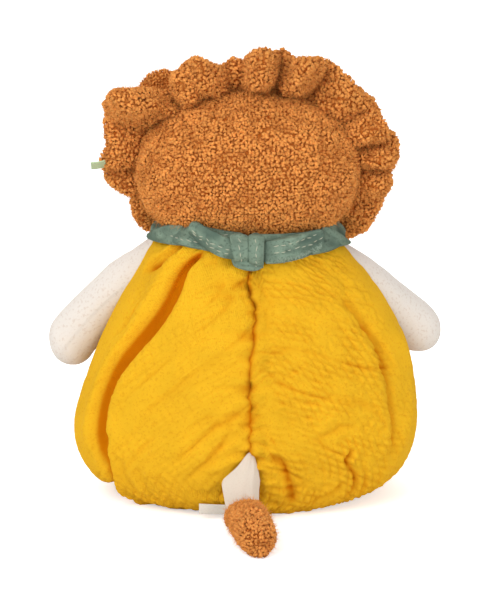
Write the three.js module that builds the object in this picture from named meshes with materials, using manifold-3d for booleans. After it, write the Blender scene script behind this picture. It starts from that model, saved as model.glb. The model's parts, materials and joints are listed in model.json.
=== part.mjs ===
// A seated plush lion: boucle head and mane, cream jersey limbs, a bubble romper of
// double gauze, a knotted neck scarf and a tufted tail.
// Millimetres, +Z up. The origin is the middle of the seat's flat underside.
// The lion looks along -Y, and its left hand is on +X.
import * as THREE from "three";
import { mergeVertices } from "three/addons/utils/BufferGeometryUtils.js";
import Module from "manifold-3d";

const wasm = await Module();
wasm.setup();

// Fits between sewn pieces
const fit = 0.3; // between two cloth faces that touch
const cutOverrun = 20; // how far a cutting tool runs past what it cuts
const flatDepth = 0.5; // how much of a round limb is pressed flat on the floor
const degree = Math.PI / 180;
const fullTurn = 2 * Math.PI;
const weld = 1e-4; // points nearer than this are one point

// Body: a bubble that is widest low down and draws in to the neck
const neckHeight = 167; // floor to the lowest point of the head
const collarRise = 22; // how far the collar climbs round the head
const bodyHalfWidth = 112;
const bodyHalfDepth = 76;
const collarHeight = neckHeight + collarRise;
const bodyHeightShares = [0, 0.04, 0.11, 0.22, 0.34, 0.51, 0.69, 0.84, 0.93, 1];
const bodyWidthShares = [0.66, 0.86, 0.955, 1, 0.985, 0.91, 0.79, 0.635, 0.54, 0.51];
const bodyDepthShares = [0.68, 0.87, 0.96, 1, 0.985, 0.91, 0.79, 0.65, 0.58, 0.555];

// Romper of double gauze, with its folds pressed in from the full form
const romperWall = 2.4;
const foldDepth = 7.5;
const seamGap = 0.4; // between two panels at their seam
const seatThickness = 2.6;
const seatShare = 0.6; // of the body's half width and half depth
const armholeEase = 3.5;
const armRootEase = 2; // of the arm's part inside the armhole, which turns in it
const legholeEase = 3;
// Each fold: its angle round the body at the hem, low, middle, high and at the collar,
// its depth and half width as shares, and where it starts and ends, in shares of the height
const backSeamAngle = 94; // degrees from +X towards +Y
const sideSeamAngle = 12; // how far the side seams lie in front of the body's sides
const foldShares = [
  { angles: [33, 32, 32, 47, 74], depthShare: 1, widthShare: 1, from: 0, to: 1 },
  { angles: [97, 96, 91, 91, 91], depthShare: 0.5, widthShare: 0.4, from: 0.22, to: 1 },
  { angles: [141, 150, 153, 149, 138], depthShare: 0.62, widthShare: 1, from: 0, to: 0.95 },
  { angles: [107, 105, 104, 103, 102], depthShare: 0.6, widthShare: 0.6, from: 0, to: 0.25 },
  { angles: [129, 127, 126, 124, 121], depthShare: 0.65, widthShare: 0.6, from: 0, to: 0.28 },
  { angles: [68, 66, 64, 70, 80], depthShare: 0.35, widthShare: 0.8, from: 0.55, to: 1 },
  { angles: [205, 203, 204, 212, 226], depthShare: 0.6, widthShare: 0.9, from: 0, to: 1 },
  { angles: [237, 240, 245, 250, 255], depthShare: 0.5, widthShare: 0.7, from: 0.3, to: 1 },
  { angles: [270, 270, 270, 270, 270], depthShare: 0.6, widthShare: 0.7, from: 0, to: 1 },
  { angles: [303, 300, 295, 290, 285], depthShare: 0.5, widthShare: 0.7, from: 0.3, to: 1 },
  { angles: [335, 337, 336, 328, 314], depthShare: 0.6, widthShare: 0.9, from: 0, to: 1 },
];
const foldHalfAngle = 6.5; // degrees
const foldFade = 0.12; // share of the height over which a fold dies out

// Torso inside the romper: jersey skin, fibre filling and a bag of pellets
const jerseyWall = 1.8;
const pelletBagHeight = 30;

// Head: a round form drawn out sideways
const headHalfWidth = 72.5;
const headRadius = 53;
const headFullness = 2.2;
const headWall = 2.4;
const faceSeamY = -6;
const headNodRange = 8; // degrees each way
const headSeatEase = 0.8; // between the head and what it is seated in
const headCentre = new THREE.Vector3(0, 0, neckHeight + headRadius);

// Mane: a folded boucle strip, gathered into ruffles and sewn into the face seam
const maneHeight = 29;
const maneThickness = 18;
const maneSink = 5; // how far its root runs under the head's surface before it is trimmed
const maneEndAngle = -44; // degrees from +X, where each lower end stops
const maneLeanTop = 34; // degrees that the strip lies back at the top of the head
const maneLeanSide = 14;
const maneRuffles = 8;
const maneRuffleLean = 19; // degrees
const maneHeightSwing = 0.06;
const maneEndForward = 21; // how far the seam runs forward at the lower ends
const maneClearance = 1.5; // to the scarf, at every nod

// Ears, in front of the mane
const earAngle = 49; // degrees from +X
const earRadius = 16;
const earThickness = 9;
const earStand = 6; // centre of the ear above the head's surface
const earSetForward = 13; // in front of the face seam
const liningRadius = 12;
const liningThickness = 1.6;

// Face
const muzzleHalfWidth = 23;
const muzzleHalfHeight = 14;
const muzzleHalfDepth = 13;
const muzzleDrop = 7; // below the head's centre
const noseHalfWidth = 8;
const noseHalfHeight = 5.5;
const noseHalfDepth = 3.5;
const eyeHalfWidth = 3.4;
const eyeHalfHeight = 4.2;
const eyeStandOff = 1.3;
const eyeSpacing = 50;
const eyeRise = 9; // above the head's centre

// Green ribbon tab on the mane's edge, at the lion's left
const tabWidth = 11;
const tabLength = 8;
const tabThickness = 1.2;
const tabAngle = 4; // degrees from +X
const tabRoot = 6; // share of its length hidden in the mane is cut away

// Arms
const armLength = 92;
const armRootRadius = 11;
const armHandRadius = 17.5;
const armAngleLeft = 42; // degrees from straight down
const armAngleRight = 47;
const armForwardAngleLeft = 12; // degrees that the arm points forward
const armForwardAngleRight = 16;
const armSwellShare = 0.4; // of the arm's length, over which it swells from its root
const armBow = 2; // how far the arm arches up along its length
const shoulderShare = 0.905; // of the neck height
const shoulderInset = 12; // pivot below the body's surface
const shoulderForward = 14; // in front of the body's middle
const mouthShare = 0.55; // a limb's sewing mouth, as a share of its root radius

// Legs
const legLength = 74;
const legRootRadius = 15;
const footRadius = 20;
const legSpreadAngle = 17; // degrees that each leg points outwards
const legSpacing = 84;
const hipInset = 6;
const legLiftRange = 25; // degrees

// Tail: a flat cotton strip with a boucle tuft
const tailRootWidth = 18;
const tailMidWidth = 26;
const tailEndWidth = 20;
const tailThickness = 9;
const tailLength = 40;
const tailRootHeight = 44;
const tailRootInset = 5;
const tailOffset = -3; // the strip starts beside the middle, under the back seam
const tailDropAngle = 54; // degrees below level
const tailLiftRange = 45; // degrees
const tailSweepEase = 1.2; // left in the romper round the tail as it lifts
const slitApexHeight = 52;
const slitHalfWidth = 17;
const slitBaseHeight = 15;
const tuftRadius = 15;
const tuftLength = 54;
const tuftNeckRadius = 9;
const tuftRestAngle = 12; // degrees towards the lion's right
const tuftSwayRange = 25; // degrees each way

// Scarf
const scarfWidth = 18;
const scarfThickness = 6;
const scarfLowRise = 4; // its lower edge above the head's lowest point
const knotHalfWidth = 11.5;
const knotHalfHeight = 11.5;
const knotHalfDepth = 7.5;
const knotDrop = 3;
const knotOffset = -1;
const endThickness = 3;
const endWidth = 13;
const leftEndLength = 42;
const rightEndLength = 50;
const endRise = 9; // how far the tip of an end climbs
const endTipRise = 6;
const bibThickness = 2.2;
const bibHalfWidth = 44;
const bibLength = 62;

// Blank care label at the hem
const labelWidth = 18;
const labelHeight = 9;
const labelThickness = 0.9;
const labelOffset = 21;
const labelLift = 0.8;

// Facets
const bodySides = 60;
const bodyRings = 12;
const innerSides = 20;
const innerRings = 7;
const headSides = 28;
const headRings = 14;
const limbSides = 12;
const limbRings = 5;
const maneSteps = 64;
const maneSides = 8;
const fillingSides = 8;
const ballSides = 12;

function cloth(colour, roughness) {
  return new THREE.MeshStandardMaterial({ color: colour, roughness, metalness: 0 });
}

const finishes = {
  boucle: cloth("#c47437", 1),
  gauze: cloth("#f6b92c", 0.95),
  scarf: cloth("#768a7a", 0.95),
  jersey: cloth("#f0e6da", 0.95),
  tail: cloth("#e9d9c8", 0.95),
  thread: cloth("#4a2c1c", 0.7),
  ribbon: cloth("#b4c596", 0.8),
  label: cloth("#ece8e2", 0.8),
  fibre: cloth("#f7f5f0", 1),
  pellets: cloth("#d8d2c6", 0.8),
};

// Turns a closed geometry into a solid that can be cut and joined.
function solidOf(geometry) {
  const bare = geometry.clone();
  bare.deleteAttribute("normal");
  bare.deleteAttribute("uv");
  const merged = mergeVertices(bare, weld);
  return new wasm.Manifold(
    new wasm.Mesh({
      numProp: 3,
      vertProperties: merged.attributes.position.array,
      triVerts: new Uint32Array(merged.index.array),
    }),
  );
}

function geometryOf(solid) {
  const mesh = solid.getMesh();
  const geometry = new THREE.BufferGeometry();
  geometry.setAttribute("position", new THREE.BufferAttribute(mesh.vertProperties, mesh.numProp));
  geometry.setIndex(new THREE.BufferAttribute(mesh.triVerts, 1));
  geometry.computeVertexNormals();
  return geometry;
}

function piece(name, solid, finish) {
  const mesh = new THREE.Mesh(geometryOf(solid), finish);
  mesh.name = name;
  return mesh;
}

// The largest body of a cut solid: offcuts of a trim are dropped.
function mainBody(solid) {
  const bodies = solid.decompose();
  return bodies.reduce((best, body) => (body.volume() > best.volume() ? body : best));
}

// A solid turned about an axis through a pivot, by an angle in degrees.
function turned(solid, pivot, axis, angle) {
  const geometry = geometryOf(solid);
  geometry.translate(-pivot.x, -pivot.y, -pivot.z);
  geometry.applyMatrix4(new THREE.Matrix4().makeRotationAxis(axis, angle * degree));
  geometry.translate(pivot.x, pivot.y, pivot.z);
  return solidOf(geometry);
}

// Cuts the room that a hinged form needs at rest, half way and at the end of its range.
function clearSweep(solid, form, hinge) {
  return [0, hinge.range / 2, hinge.range].reduce(
    (left, angle) => left.subtract(turned(form, hinge.pivot, hinge.axis, angle)),
    solid,
  );
}

// A closed skin over rings of points, each ring running the same way round.
function loft(rings) {
  const sides = rings[0].length;
  const centreOf = (ring) =>
    ring.reduce((sum, p) => sum.add(p), new THREE.Vector3()).divideScalar(ring.length);
  const points = [...rings.flat(), centreOf(rings[0]), centreOf(rings[rings.length - 1])];
  const first = points.length - 2;
  const last = points.length - 1;
  const index = [];
  for (let i = 0; i < rings.length - 1; i++) {
    for (let j = 0; j < sides; j++) {
      const a = i * sides + j;
      const b = i * sides + ((j + 1) % sides);
      index.push(a, b, b + sides, a, b + sides, a + sides);
    }
  }
  const top = (rings.length - 1) * sides;
  for (let j = 0; j < sides; j++) {
    const next = (j + 1) % sides;
    index.push(first, next, j);
    index.push(last, top + j, top + next);
  }
  const geometry = new THREE.BufferGeometry().setFromPoints(points);
  geometry.setIndex(index);
  return solidOf(geometry);
}

// The body's outline at one side: half width, half depth and height, base to collar.
function bodyProfile(count) {
  const outline = (shares, size) =>
    new THREE.SplineCurve(
      bodyHeightShares.map((h, i) => new THREE.Vector2(shares[i] * size, h * collarHeight)),
    ).getPoints(count);
  const widths = outline(bodyWidthShares, bodyHalfWidth);
  const depths = outline(bodyDepthShares, bodyHalfDepth);
  return widths.map((p, i) => ({ width: p.x, depth: depths[i].x, height: p.y }));
}

const fineProfile = bodyProfile(innerSides * innerRings);

// Half width or half depth of the body at a height.
function bodyAt(height, key) {
  const above = fineProfile.findIndex((p) => p.height >= height);
  if (above <= 0) return fineProfile[0][key];
  const [a, b] = [fineProfile[above - 1], fineProfile[above]];
  return a[key] + ((b[key] - a[key]) * (height - a.height)) / (b.height - a.height);
}

// How far the folds press the romper in, at an angle in degrees and a share of the height.
function foldAt(angle, share) {
  return foldShares.reduce((sum, fold) => {
    const step = share * (fold.angles.length - 1);
    const i = Math.min(Math.floor(step), fold.angles.length - 2);
    const at = THREE.MathUtils.lerp(fold.angles[i], fold.angles[i + 1], step - i);
    const away = Math.abs(((((angle - at) % 360) + 540) % 360) - 180);
    const across = Math.exp(-((away / (foldHalfAngle * fold.widthShare)) ** 2));
    const rise = fold.from > 0 ? THREE.MathUtils.smoothstep(share, fold.from - foldFade, fold.from) : 1;
    const fall = fold.to < 1 ? 1 - THREE.MathUtils.smoothstep(share, fold.to, fold.to + foldFade) : 1;
    return Math.max(sum, fold.depthShare * across * rise * fall);
  }, 0) * foldDepth;
}

const romperFacets = { sides: bodySides, rings: bodyRings };

// The body's form, grown or shrunk all round, with or without the romper's folds.
function bodyForm(grow, { folded = false, sides = innerSides, rings = innerRings, rise = 0 } = {}) {
  const profile = bodyProfile(rings);
  return loft(
    profile.map((p, i) => {
      const [before, after] = [profile[Math.max(i - 1, 0)], profile[Math.min(i + 1, rings)]];
      const slope = new THREE.Vector2(after.width - before.width, after.height - before.height);
      const out = slope.y / slope.length();
      const down = -slope.x / slope.length();
      const height = p.height + grow * down + (i === rings ? rise : 0);
      return Array.from({ length: sides }, (_, j) => {
        const turn = (j / sides) * fullTurn;
        const press = folded ? foldAt(turn / degree, p.height / collarHeight) : 0;
        const reach = grow * out - press;
        return new THREE.Vector3(
          (p.width + reach) * Math.cos(turn),
          (p.depth + reach) * Math.sin(turn),
          height,
        );
      });
    }),
  );
}

// The head's radius round its side-to-side axis, at a distance from its middle.
function headRadiusAt(x, grow = 0) {
  const share = Math.min(Math.abs(x) / (headHalfWidth + grow), 1);
  return (headRadius + grow) * (1 - share ** headFullness) ** (1 / headFullness);
}

// The head turned as one form round its side-to-side axis, so a nod leaves its outline alone.
function headForm(grow, sides = headSides, rings = headRings) {
  const profile = Array.from({ length: rings + 1 }, (_, i) => {
    const x = -(headHalfWidth + grow) * Math.cos((i / rings) * Math.PI);
    const radius = i === 0 || i === rings ? 0 : headRadiusAt(x, grow);
    return new THREE.Vector2(radius, x);
  });
  const form = new THREE.LatheGeometry(profile, sides);
  form.rotateZ(-Math.PI / 2);
  form.translate(headCentre.x, headCentre.y, headCentre.z);
  return solidOf(form);
}

function ball(radius, centre, sides = ballSides) {
  const form = new THREE.SphereGeometry(radius, sides, sides / 2);
  form.translate(centre.x, centre.y, centre.z);
  return solidOf(form);
}

function ovalForm(half, centre, sides = ballSides) {
  const form = new THREE.SphereGeometry(1, sides, sides / 2 + 2);
  form.scale(half.x, half.y, half.z);
  form.translate(centre.x, centre.y, centre.z);
  return solidOf(form);
}

function block(low, high) {
  const size = high.clone().sub(low);
  const middle = low.clone().add(high).divideScalar(2);
  const form = new THREE.BoxGeometry(size.x, size.y, size.z);
  form.translate(middle.x, middle.y, middle.z);
  return solidOf(form);
}

// A flat outline in X and Z, pushed through from the body's middle to the front or back.
function panelTool(outline, towards) {
  const shape = new THREE.Shape(outline.map(([x, z]) => new THREE.Vector2(x, z)));
  const reach = bodyHalfDepth + cutOverrun;
  const form = new THREE.ExtrudeGeometry(shape, { depth: reach, bevelEnabled: false });
  form.rotateX(Math.PI / 2);
  if (towards > 0) form.translate(0, reach, 0);
  return solidOf(form);
}

// Everything of a solid on one side of an upright plane through the body's axis.
function sector(fromAngle, toAngle) {
  const reach = 2 * (bodyHalfWidth + bodyHalfDepth);
  const steps = 6;
  const shape = new THREE.Shape();
  shape.moveTo(0, 0);
  for (let i = 0; i <= steps; i++) {
    const turn = THREE.MathUtils.lerp(fromAngle, toAngle, i / steps) * degree;
    shape.lineTo(reach * Math.cos(turn), reach * Math.sin(turn));
  }
  const depth = collarHeight + 2 * cutOverrun;
  const form = new THREE.ExtrudeGeometry(shape, { depth, bevelEnabled: false });
  form.translate(0, 0, -cutOverrun);
  return solidOf(form);
}

// A wall along an upright plane through the body's axis, as thick as a seam's gap.
function seamTool(angle) {
  const reach = bodyHalfWidth + cutOverrun;
  const height = collarHeight + 2 * cutOverrun;
  const form = new THREE.BoxGeometry(reach, seamGap, height);
  form.translate(reach / 2, 0, height / 2 - cutOverrun);
  form.rotateZ(angle * degree);
  return solidOf(form);
}

const floorCut = block(
  new THREE.Vector3(-2 * bodyHalfWidth, -4 * bodyHalfDepth, -cutOverrun - flatDepth),
  new THREE.Vector3(2 * bodyHalfWidth, 4 * bodyHalfDepth, 0),
);

// A stuffed limb: round rings along a line from its pivot, which may arch up, closed by a ball at the
// root. radii are shares along the length; grow swells or shrinks it all round.
function limbForm(limb, grow, sides = limbSides) {
  const along = limb.direction.clone().normalize();
  const side = new THREE.Vector3(0, 0, 1).cross(along).normalize();
  const up = along.clone().cross(side);
  const rings = [];
  const addRing = (distance, radius) => {
    const middle = limb.pivot.clone().addScaledVector(along, distance);
    if (limb.rise) middle.addScaledVector(new THREE.Vector3(0, 0, 1), limb.rise(radius));
    if (limb.bow) {
      const share = THREE.MathUtils.clamp(distance / limb.length, 0, 1);
      middle.addScaledVector(up, limb.bow * Math.sin(share * Math.PI));
    }
    rings.push(
      Array.from({ length: sides }, (_, j) => {
        const turn = (j / sides) * fullTurn;
        return middle
          .clone()
          .addScaledVector(side, (radius + grow) * Math.cos(turn))
          .addScaledVector(up, (radius + grow) * Math.sin(turn) * limb.flatness);
      }),
    );
  };
  const root = limb.rootRadius;
  const rootSteps = 3;
  for (let i = 0; i < rootSteps; i++) {
    const turn = ((i + 0.5) / rootSteps) * (Math.PI / 2);
    addRing(-(root + grow) * Math.cos(turn), (root + grow) * Math.sin(turn) - grow);
  }
  const tip = limb.tipRadius;
  const straight = limb.length - tip;
  for (let i = 0; i <= limbRings; i++) {
    const share = i / limbRings;
    const swell = THREE.MathUtils.lerp(root, tip, limb.taper(share));
    addRing(share * straight, swell);
  }
  const tipSteps = 4;
  for (let i = 1; i <= tipSteps; i++) {
    const turn = (i / (tipSteps + 0.4)) * (Math.PI / 2);
    addRing(straight + (tip + grow) * Math.sin(turn), (tip + grow) * Math.cos(turn) - grow);
  }
  return loft(rings);
}

// The sewing mouth in the root of a limb's skin, which keeps its hollow open to the torso.
function mouthTool(limb) {
  const radius = limb.rootRadius * mouthShare;
  const form = new THREE.CylinderGeometry(radius, radius, limb.rootRadius, fillingSides);
  form.translate(0, -limb.rootRadius, 0);
  const turn = new THREE.Quaternion().setFromUnitVectors(
    new THREE.Vector3(0, 1, 0),
    limb.direction.clone().normalize(),
  );
  form.applyQuaternion(turn);
  form.translate(limb.pivot.x, limb.pivot.y, limb.pivot.z);
  return solidOf(form);
}

function armOf(sideSign, hang, forward) {
  const height = shoulderShare * neckHeight;
  return {
    pivot: new THREE.Vector3(
      sideSign * (bodyAt(height, "width") - shoulderInset),
      -shoulderForward,
      height,
    ),
    direction: new THREE.Vector3(
      sideSign * Math.sin(hang * degree),
      -Math.sin(forward * degree),
      -Math.cos(hang * degree),
    ),
    length: armLength,
    rootRadius: armRootRadius,
    tipRadius: armHandRadius,
    flatness: 1,
    bow: armBow,
    taper: (share) => THREE.MathUtils.smoothstep(share, -armSwellShare / 2, armSwellShare),
  };
}

function legOf(sideSign) {
  const x = (sideSign * legSpacing) / 2;
  const height = legRootRadius - flatDepth;
  const reach = bodyAt(height, "depth") * Math.sqrt(1 - (x / bodyAt(height, "width")) ** 2);
  return {
    pivot: new THREE.Vector3(x, hipInset - reach, height),
    direction: new THREE.Vector3(
      sideSign * Math.sin(legSpreadAngle * degree),
      -Math.cos(legSpreadAngle * degree),
      0,
    ),
    length: legLength,
    rootRadius: legRootRadius,
    tipRadius: footRadius,
    flatness: 1,
    taper: (share) => THREE.MathUtils.smoothstep(share, 0, 1),
    rise: (radius) => Math.max(radius - legRootRadius, 0),
  };
}

const acrossAxis = new THREE.Vector3(1, 0, 0);

// How a leg lifts: the axis, and how far from where it rests.
function legHinge(leg) {
  return { pivot: leg.pivot, axis: acrossAxis, range: -legLiftRange };
}

const arms = {
  left: armOf(1, armAngleLeft, armForwardAngleLeft),
  right: armOf(-1, armAngleRight, armForwardAngleRight),
};
const legs = { left: legOf(1), right: legOf(-1) };

// The tail's strip: narrow where it leaves the slit, wide in the middle, under level.
const tailPivot = new THREE.Vector3(
  tailOffset,
  bodyAt(tailRootHeight, "depth") - tailRootInset,
  tailRootHeight,
);
const tailDirection = new THREE.Vector3(
  -tailOffset / tailLength,
  Math.cos(tailDropAngle * degree),
  -Math.sin(tailDropAngle * degree),
).normalize();
const tailEnd = tailPivot.clone().addScaledVector(tailDirection, tailLength);
const tailHinge = { pivot: tailPivot, axis: acrossAxis, range: tailLiftRange };

function tailForm(grow) {
  const side = new THREE.Vector3(0, 0, 1).cross(tailDirection).normalize();
  const up = tailDirection.clone().cross(side);
  const widths = [tailRootWidth, tailMidWidth, tailEndWidth];
  const halfThickness = tailThickness / 2 + grow;
  const rings = [];
  for (let i = -2; i <= limbRings + 2; i++) {
    const share = THREE.MathUtils.clamp(i / limbRings, 0, 1);
    const past = i < 0 ? i : Math.max(i - limbRings, 0);
    const round = Math.sqrt(1 - (past / 2.5) ** 2);
    const bend = new THREE.SplineCurve(widths.map((w, k) => new THREE.Vector2(k, w)));
    const halfWidth = (bend.getPoint(share).y / 2 + grow) * (past ? round : 1);
    const distance = share * tailLength + (past / 2.5) * halfThickness;
    const middle = tailPivot.clone().addScaledVector(tailDirection, distance);
    rings.push(
      Array.from({ length: limbSides }, (_, j) => {
        const turn = (j / limbSides) * fullTurn;
        return middle
          .clone()
          .addScaledVector(side, halfWidth * Math.cos(turn))
          .addScaledVector(up, halfThickness * round * Math.sin(turn));
      }),
    );
  }
  return loft(rings);
}

// The tuft lies on the floor beyond the strip's end.
const tuft = {
  pivot: new THREE.Vector3(tailEnd.x, tailEnd.y + tuftNeckRadius * 0.4, tuftNeckRadius - flatDepth),
  direction: new THREE.Vector3(
    -Math.sin(tuftRestAngle * degree),
    Math.cos(tuftRestAngle * degree),
    0,
  ),
  length: tuftLength,
  rootRadius: tuftNeckRadius,
  tipRadius: tuftRadius * 0.8,
  flatness: 0.95,
  taper: (share) => share + 1.1 * Math.sin(share * Math.PI),
  rise: (radius) => Math.max(radius * 0.95 - tuftNeckRadius, 0),
};

// The mane's root on the face seam, its outward direction, and how it leans, at a share
// of its length from the lion's left end over the top to its right end.
function maneFrame(share) {
  const angle = THREE.MathUtils.lerp(maneEndAngle, 180 - maneEndAngle, share);
  const [c, s] = [Math.cos(angle * degree), Math.sin(angle * degree)];
  const power = 2 / headFullness;
  const x = headHalfWidth * Math.sign(c) * Math.abs(c) ** power;
  const radius = headRadiusAt(x);
  const low = THREE.MathUtils.smoothstep(-s, 0, -Math.sin(maneEndAngle * degree));
  const y = faceSeamY - maneEndForward * low;
  const z = Math.sign(s) * Math.sqrt(Math.max(radius ** 2 - y ** 2, 0));
  const outward = new THREE.Vector3(
    (Math.sign(c) * Math.abs(x / headHalfWidth) ** (headFullness - 1)) / headHalfWidth,
    0,
    (Math.sign(s) * Math.abs(radius / headRadius) ** (headFullness - 1)) / headRadius,
  ).normalize();
  const ruffle = Math.sin(share * maneRuffles * fullTurn);
  const top = Math.max(s, 0);
  const lean = (THREE.MathUtils.lerp(maneLeanSide, maneLeanTop, top) + maneRuffleLean * ruffle) * degree;
  return { root: new THREE.Vector3(x, y, z).add(headCentre), outward, lean, ruffle };
}

function maneForm(grow) {
  const back = new THREE.Vector3(0, 1, 0);
  const rings = [];
  for (let i = 0; i <= maneSteps; i++) {
    const share = i / maneSteps;
    const { root, outward, lean, ruffle } = maneFrame(share);
    const along = outward.clone().multiplyScalar(Math.cos(lean)).addScaledVector(back, Math.sin(lean));
    const across = outward.clone().multiplyScalar(-Math.sin(lean)).addScaledVector(back, Math.cos(lean));
    const swell = 1 + maneHeightSwing * Math.cos(share * maneRuffles * 2 * fullTurn);
    const end = Math.min(share, 1 - share) * maneSteps;
    const round = Math.sqrt(1 - (1 - Math.min(end / 3, 0.97)) ** 2);
    const halfLength = ((maneHeight * swell + maneSink) / 2) * round + grow;
    const halfThickness = (maneThickness / 2) * (1 - 0.1 * ruffle) * round + grow;
    const middle = root.clone().addScaledVector(along, (maneHeight * swell - maneSink) / 2);
    rings.push(
      Array.from({ length: maneSides }, (_, j) => {
        const turn = (j / maneSides) * fullTurn;
        return middle
          .clone()
          .addScaledVector(along, halfLength * Math.cos(turn))
          .addScaledVector(across, halfThickness * Math.sin(turn));
      }),
    );
  }
  return loft(rings);
}

// The scarf's band, as high as the cloth is wide, grown for clearance.
function scarfEnvelope(grow) {
  const low = neckHeight + scarfLowRise;
  const reach = bodyHalfWidth + cutOverrun;
  const slab = block(
    new THREE.Vector3(-reach, -reach, low - grow),
    new THREE.Vector3(reach, reach, low + scarfWidth + grow),
  );
  return bodyForm(fit + scarfThickness + grow, { rise: cutOverrun }).intersect(slab);
}


// A sheet that follows the body's form at a distance, cut to an outline at the front or back.
function layer(distance, thickness, outline, towards, facets = {}) {
  return bodyForm(distance + thickness, { ...facets, rise: cutOverrun })
    .subtract(bodyForm(distance, { ...facets, rise: 2 * cutOverrun }))
    .intersect(panelTool(outline, towards));
}

function romperPanels() {
  const hollow = bodyForm(-foldDepth - romperWall, { rise: cutOverrun });
  const seatTool = new THREE.CylinderGeometry(1, 1, 2 * (seatThickness + fit), bodySides);
  seatTool.rotateX(Math.PI / 2);
  seatTool.scale(seatShare * bodyHalfWidth + fit, seatShare * bodyHalfDepth + fit, 1);
  let shell = bodyForm(0, { folded: true, ...romperFacets })
    .subtract(hollow)
    .subtract(solidOf(seatTool))
    .subtract(headForm(headSeatEase))
    .subtract(slitTool());
  for (const arm of Object.values(arms)) {
    shell = shell.subtract(ball(arm.rootRadius + armholeEase, arm.pivot));
  }
  for (const leg of Object.values(legs)) {
    shell = shell.subtract(ball(leg.rootRadius + legholeEase, leg.pivot));
    shell = clearSweep(shell, limbForm(leg, fit), legHinge(leg));
  }
  shell = clearSweep(shell, tailForm(tailSweepEase), tailHinge);
  const seams = [backSeamAngle, -sideSeamAngle, 180 + sideSeamAngle];
  for (const angle of seams) shell = shell.subtract(seamTool(angle));
  return {
    backLeft: mainBody(shell.intersect(sector(-sideSeamAngle, backSeamAngle))),
    backRight: mainBody(shell.intersect(sector(backSeamAngle, 180 + sideSeamAngle))),
    front: mainBody(shell.intersect(sector(180 + sideSeamAngle, 360 - sideSeamAngle))),
  };
}

// The slit in the back seam that the tail comes through.
function slitTool() {
  const seamX = bodyAt(slitApexHeight, "width") * Math.cos(backSeamAngle * degree);
  return panelTool(
    [
      [seamX, slitApexHeight],
      [-slitHalfWidth, slitBaseHeight],
      [-slitHalfWidth, seatThickness],
      [slitHalfWidth, seatThickness],
      [slitHalfWidth, slitBaseHeight],
    ],
    1,
  );
}

function seatPanel() {
  const form = new THREE.CylinderGeometry(1, 1, seatThickness, bodySides / 2);
  form.rotateX(Math.PI / 2);
  form.scale(seatShare * bodyHalfWidth, seatShare * bodyHalfDepth, 1);
  form.translate(0, 0, seatThickness / 2);
  return solidOf(form);
}

const skinDistance = -foldDepth - romperWall - fit;

// Takes the seats of the head and limbs out of a torso piece.
function seated(solid) {
  let cut = solid.subtract(headForm(headSeatEase));
  for (const arm of Object.values(arms)) {
    cut = cut.subtract(ball(arm.rootRadius + armholeEase, arm.pivot));
  }
  for (const leg of Object.values(legs)) {
    cut = cut.subtract(ball(leg.rootRadius + legholeEase, leg.pivot));
  }
  return cut;
}

function torsoSkin() {
  const shell = bodyForm(skinDistance).subtract(bodyForm(skinDistance - jerseyWall, { rise: cutOverrun }));
  return mainBody(seated(shell));
}

function torsoFilling() {
  const inside = bodyForm(skinDistance - jerseyWall - fit);
  const level = pelletBagHeight;
  const reach = bodyHalfWidth + cutOverrun;
  const above = block(
    new THREE.Vector3(-reach, -reach, level + fit),
    new THREE.Vector3(reach, reach, collarHeight + cutOverrun),
  );
  const below = block(
    new THREE.Vector3(-reach, -reach, -cutOverrun),
    new THREE.Vector3(reach, reach, level),
  );
  return {
    fibre: mainBody(seated(inside.intersect(above))),
    pellets: mainBody(seated(inside.intersect(below))),
  };
}

function limbPieces(limb, trims) {
  const cut = (solid) => trims.reduce((left, trim) => left.subtract(trim), solid);
  const outside = cut(limbForm(limb, 0));
  const hollow = limbForm(limb, -jerseyWall, fillingSides);
  const skin = outside.subtract(hollow).subtract(mouthTool(limb));
  const filling = cut(limbForm(limb, -jerseyWall - fit, fillingSides));
  return { skin: mainBody(skin), filling: mainBody(filling) };
}

function headPieces() {
  const reach = 2 * headHalfWidth;
  const half = (low, high) =>
    block(
      new THREE.Vector3(-reach, low, headCentre.z - reach),
      new THREE.Vector3(reach, high, headCentre.z + reach),
    );
  const shell = headForm(0).subtract(headForm(-headWall, headSides / 2, headRings));
  return {
    back: shell.intersect(half(faceSeamY + seamGap / 2, reach)),
    face: shell.intersect(half(-reach, faceSeamY - seamGap / 2)),
    filling: headForm(-headWall - fit, headSides / 2, headRings),
  };
}

function manePiece() {
  let mane = maneForm(0).subtract(headForm(fit));
  for (const angle of [-headNodRange, 0, headNodRange]) {
    mane = mane.subtract(turned(scarfEnvelope(maneClearance), headCentre, acrossAxis, angle));
  }
  return mainBody(mane);
}

function earPieces(sideSign) {
  const turn = earAngle * degree;
  const power = 2 / headFullness;
  const x = headHalfWidth * Math.cos(turn) ** power;
  const z = headRadiusAt(x);
  const middle = new THREE.Vector3(
    sideSign * (x + earStand * Math.cos(turn)),
    faceSeamY - earSetForward,
    headCentre.z + z + earStand * Math.sin(turn),
  );
  const half = new THREE.Vector3(earRadius, earThickness / 2, earRadius);
  const grownHalf = half.clone().addScalar(fit);
  const ear = ovalForm(half, middle).subtract(headForm(fit)).subtract(maneForm(fit));
  const liningHalf = new THREE.Vector3(liningRadius, earThickness / 2 + liningThickness, liningRadius);
  const front = block(
    new THREE.Vector3(-2 * headHalfWidth, -2 * headHalfWidth, headCentre.z),
    new THREE.Vector3(2 * headHalfWidth, middle.y, headCentre.z + 2 * headHalfWidth),
  );
  const lining = ovalForm(liningHalf, middle)
    .subtract(ovalForm(grownHalf, middle))
    .subtract(headForm(fit))
    .intersect(front);
  return { ear: mainBody(ear), lining: mainBody(lining) };
}

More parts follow.
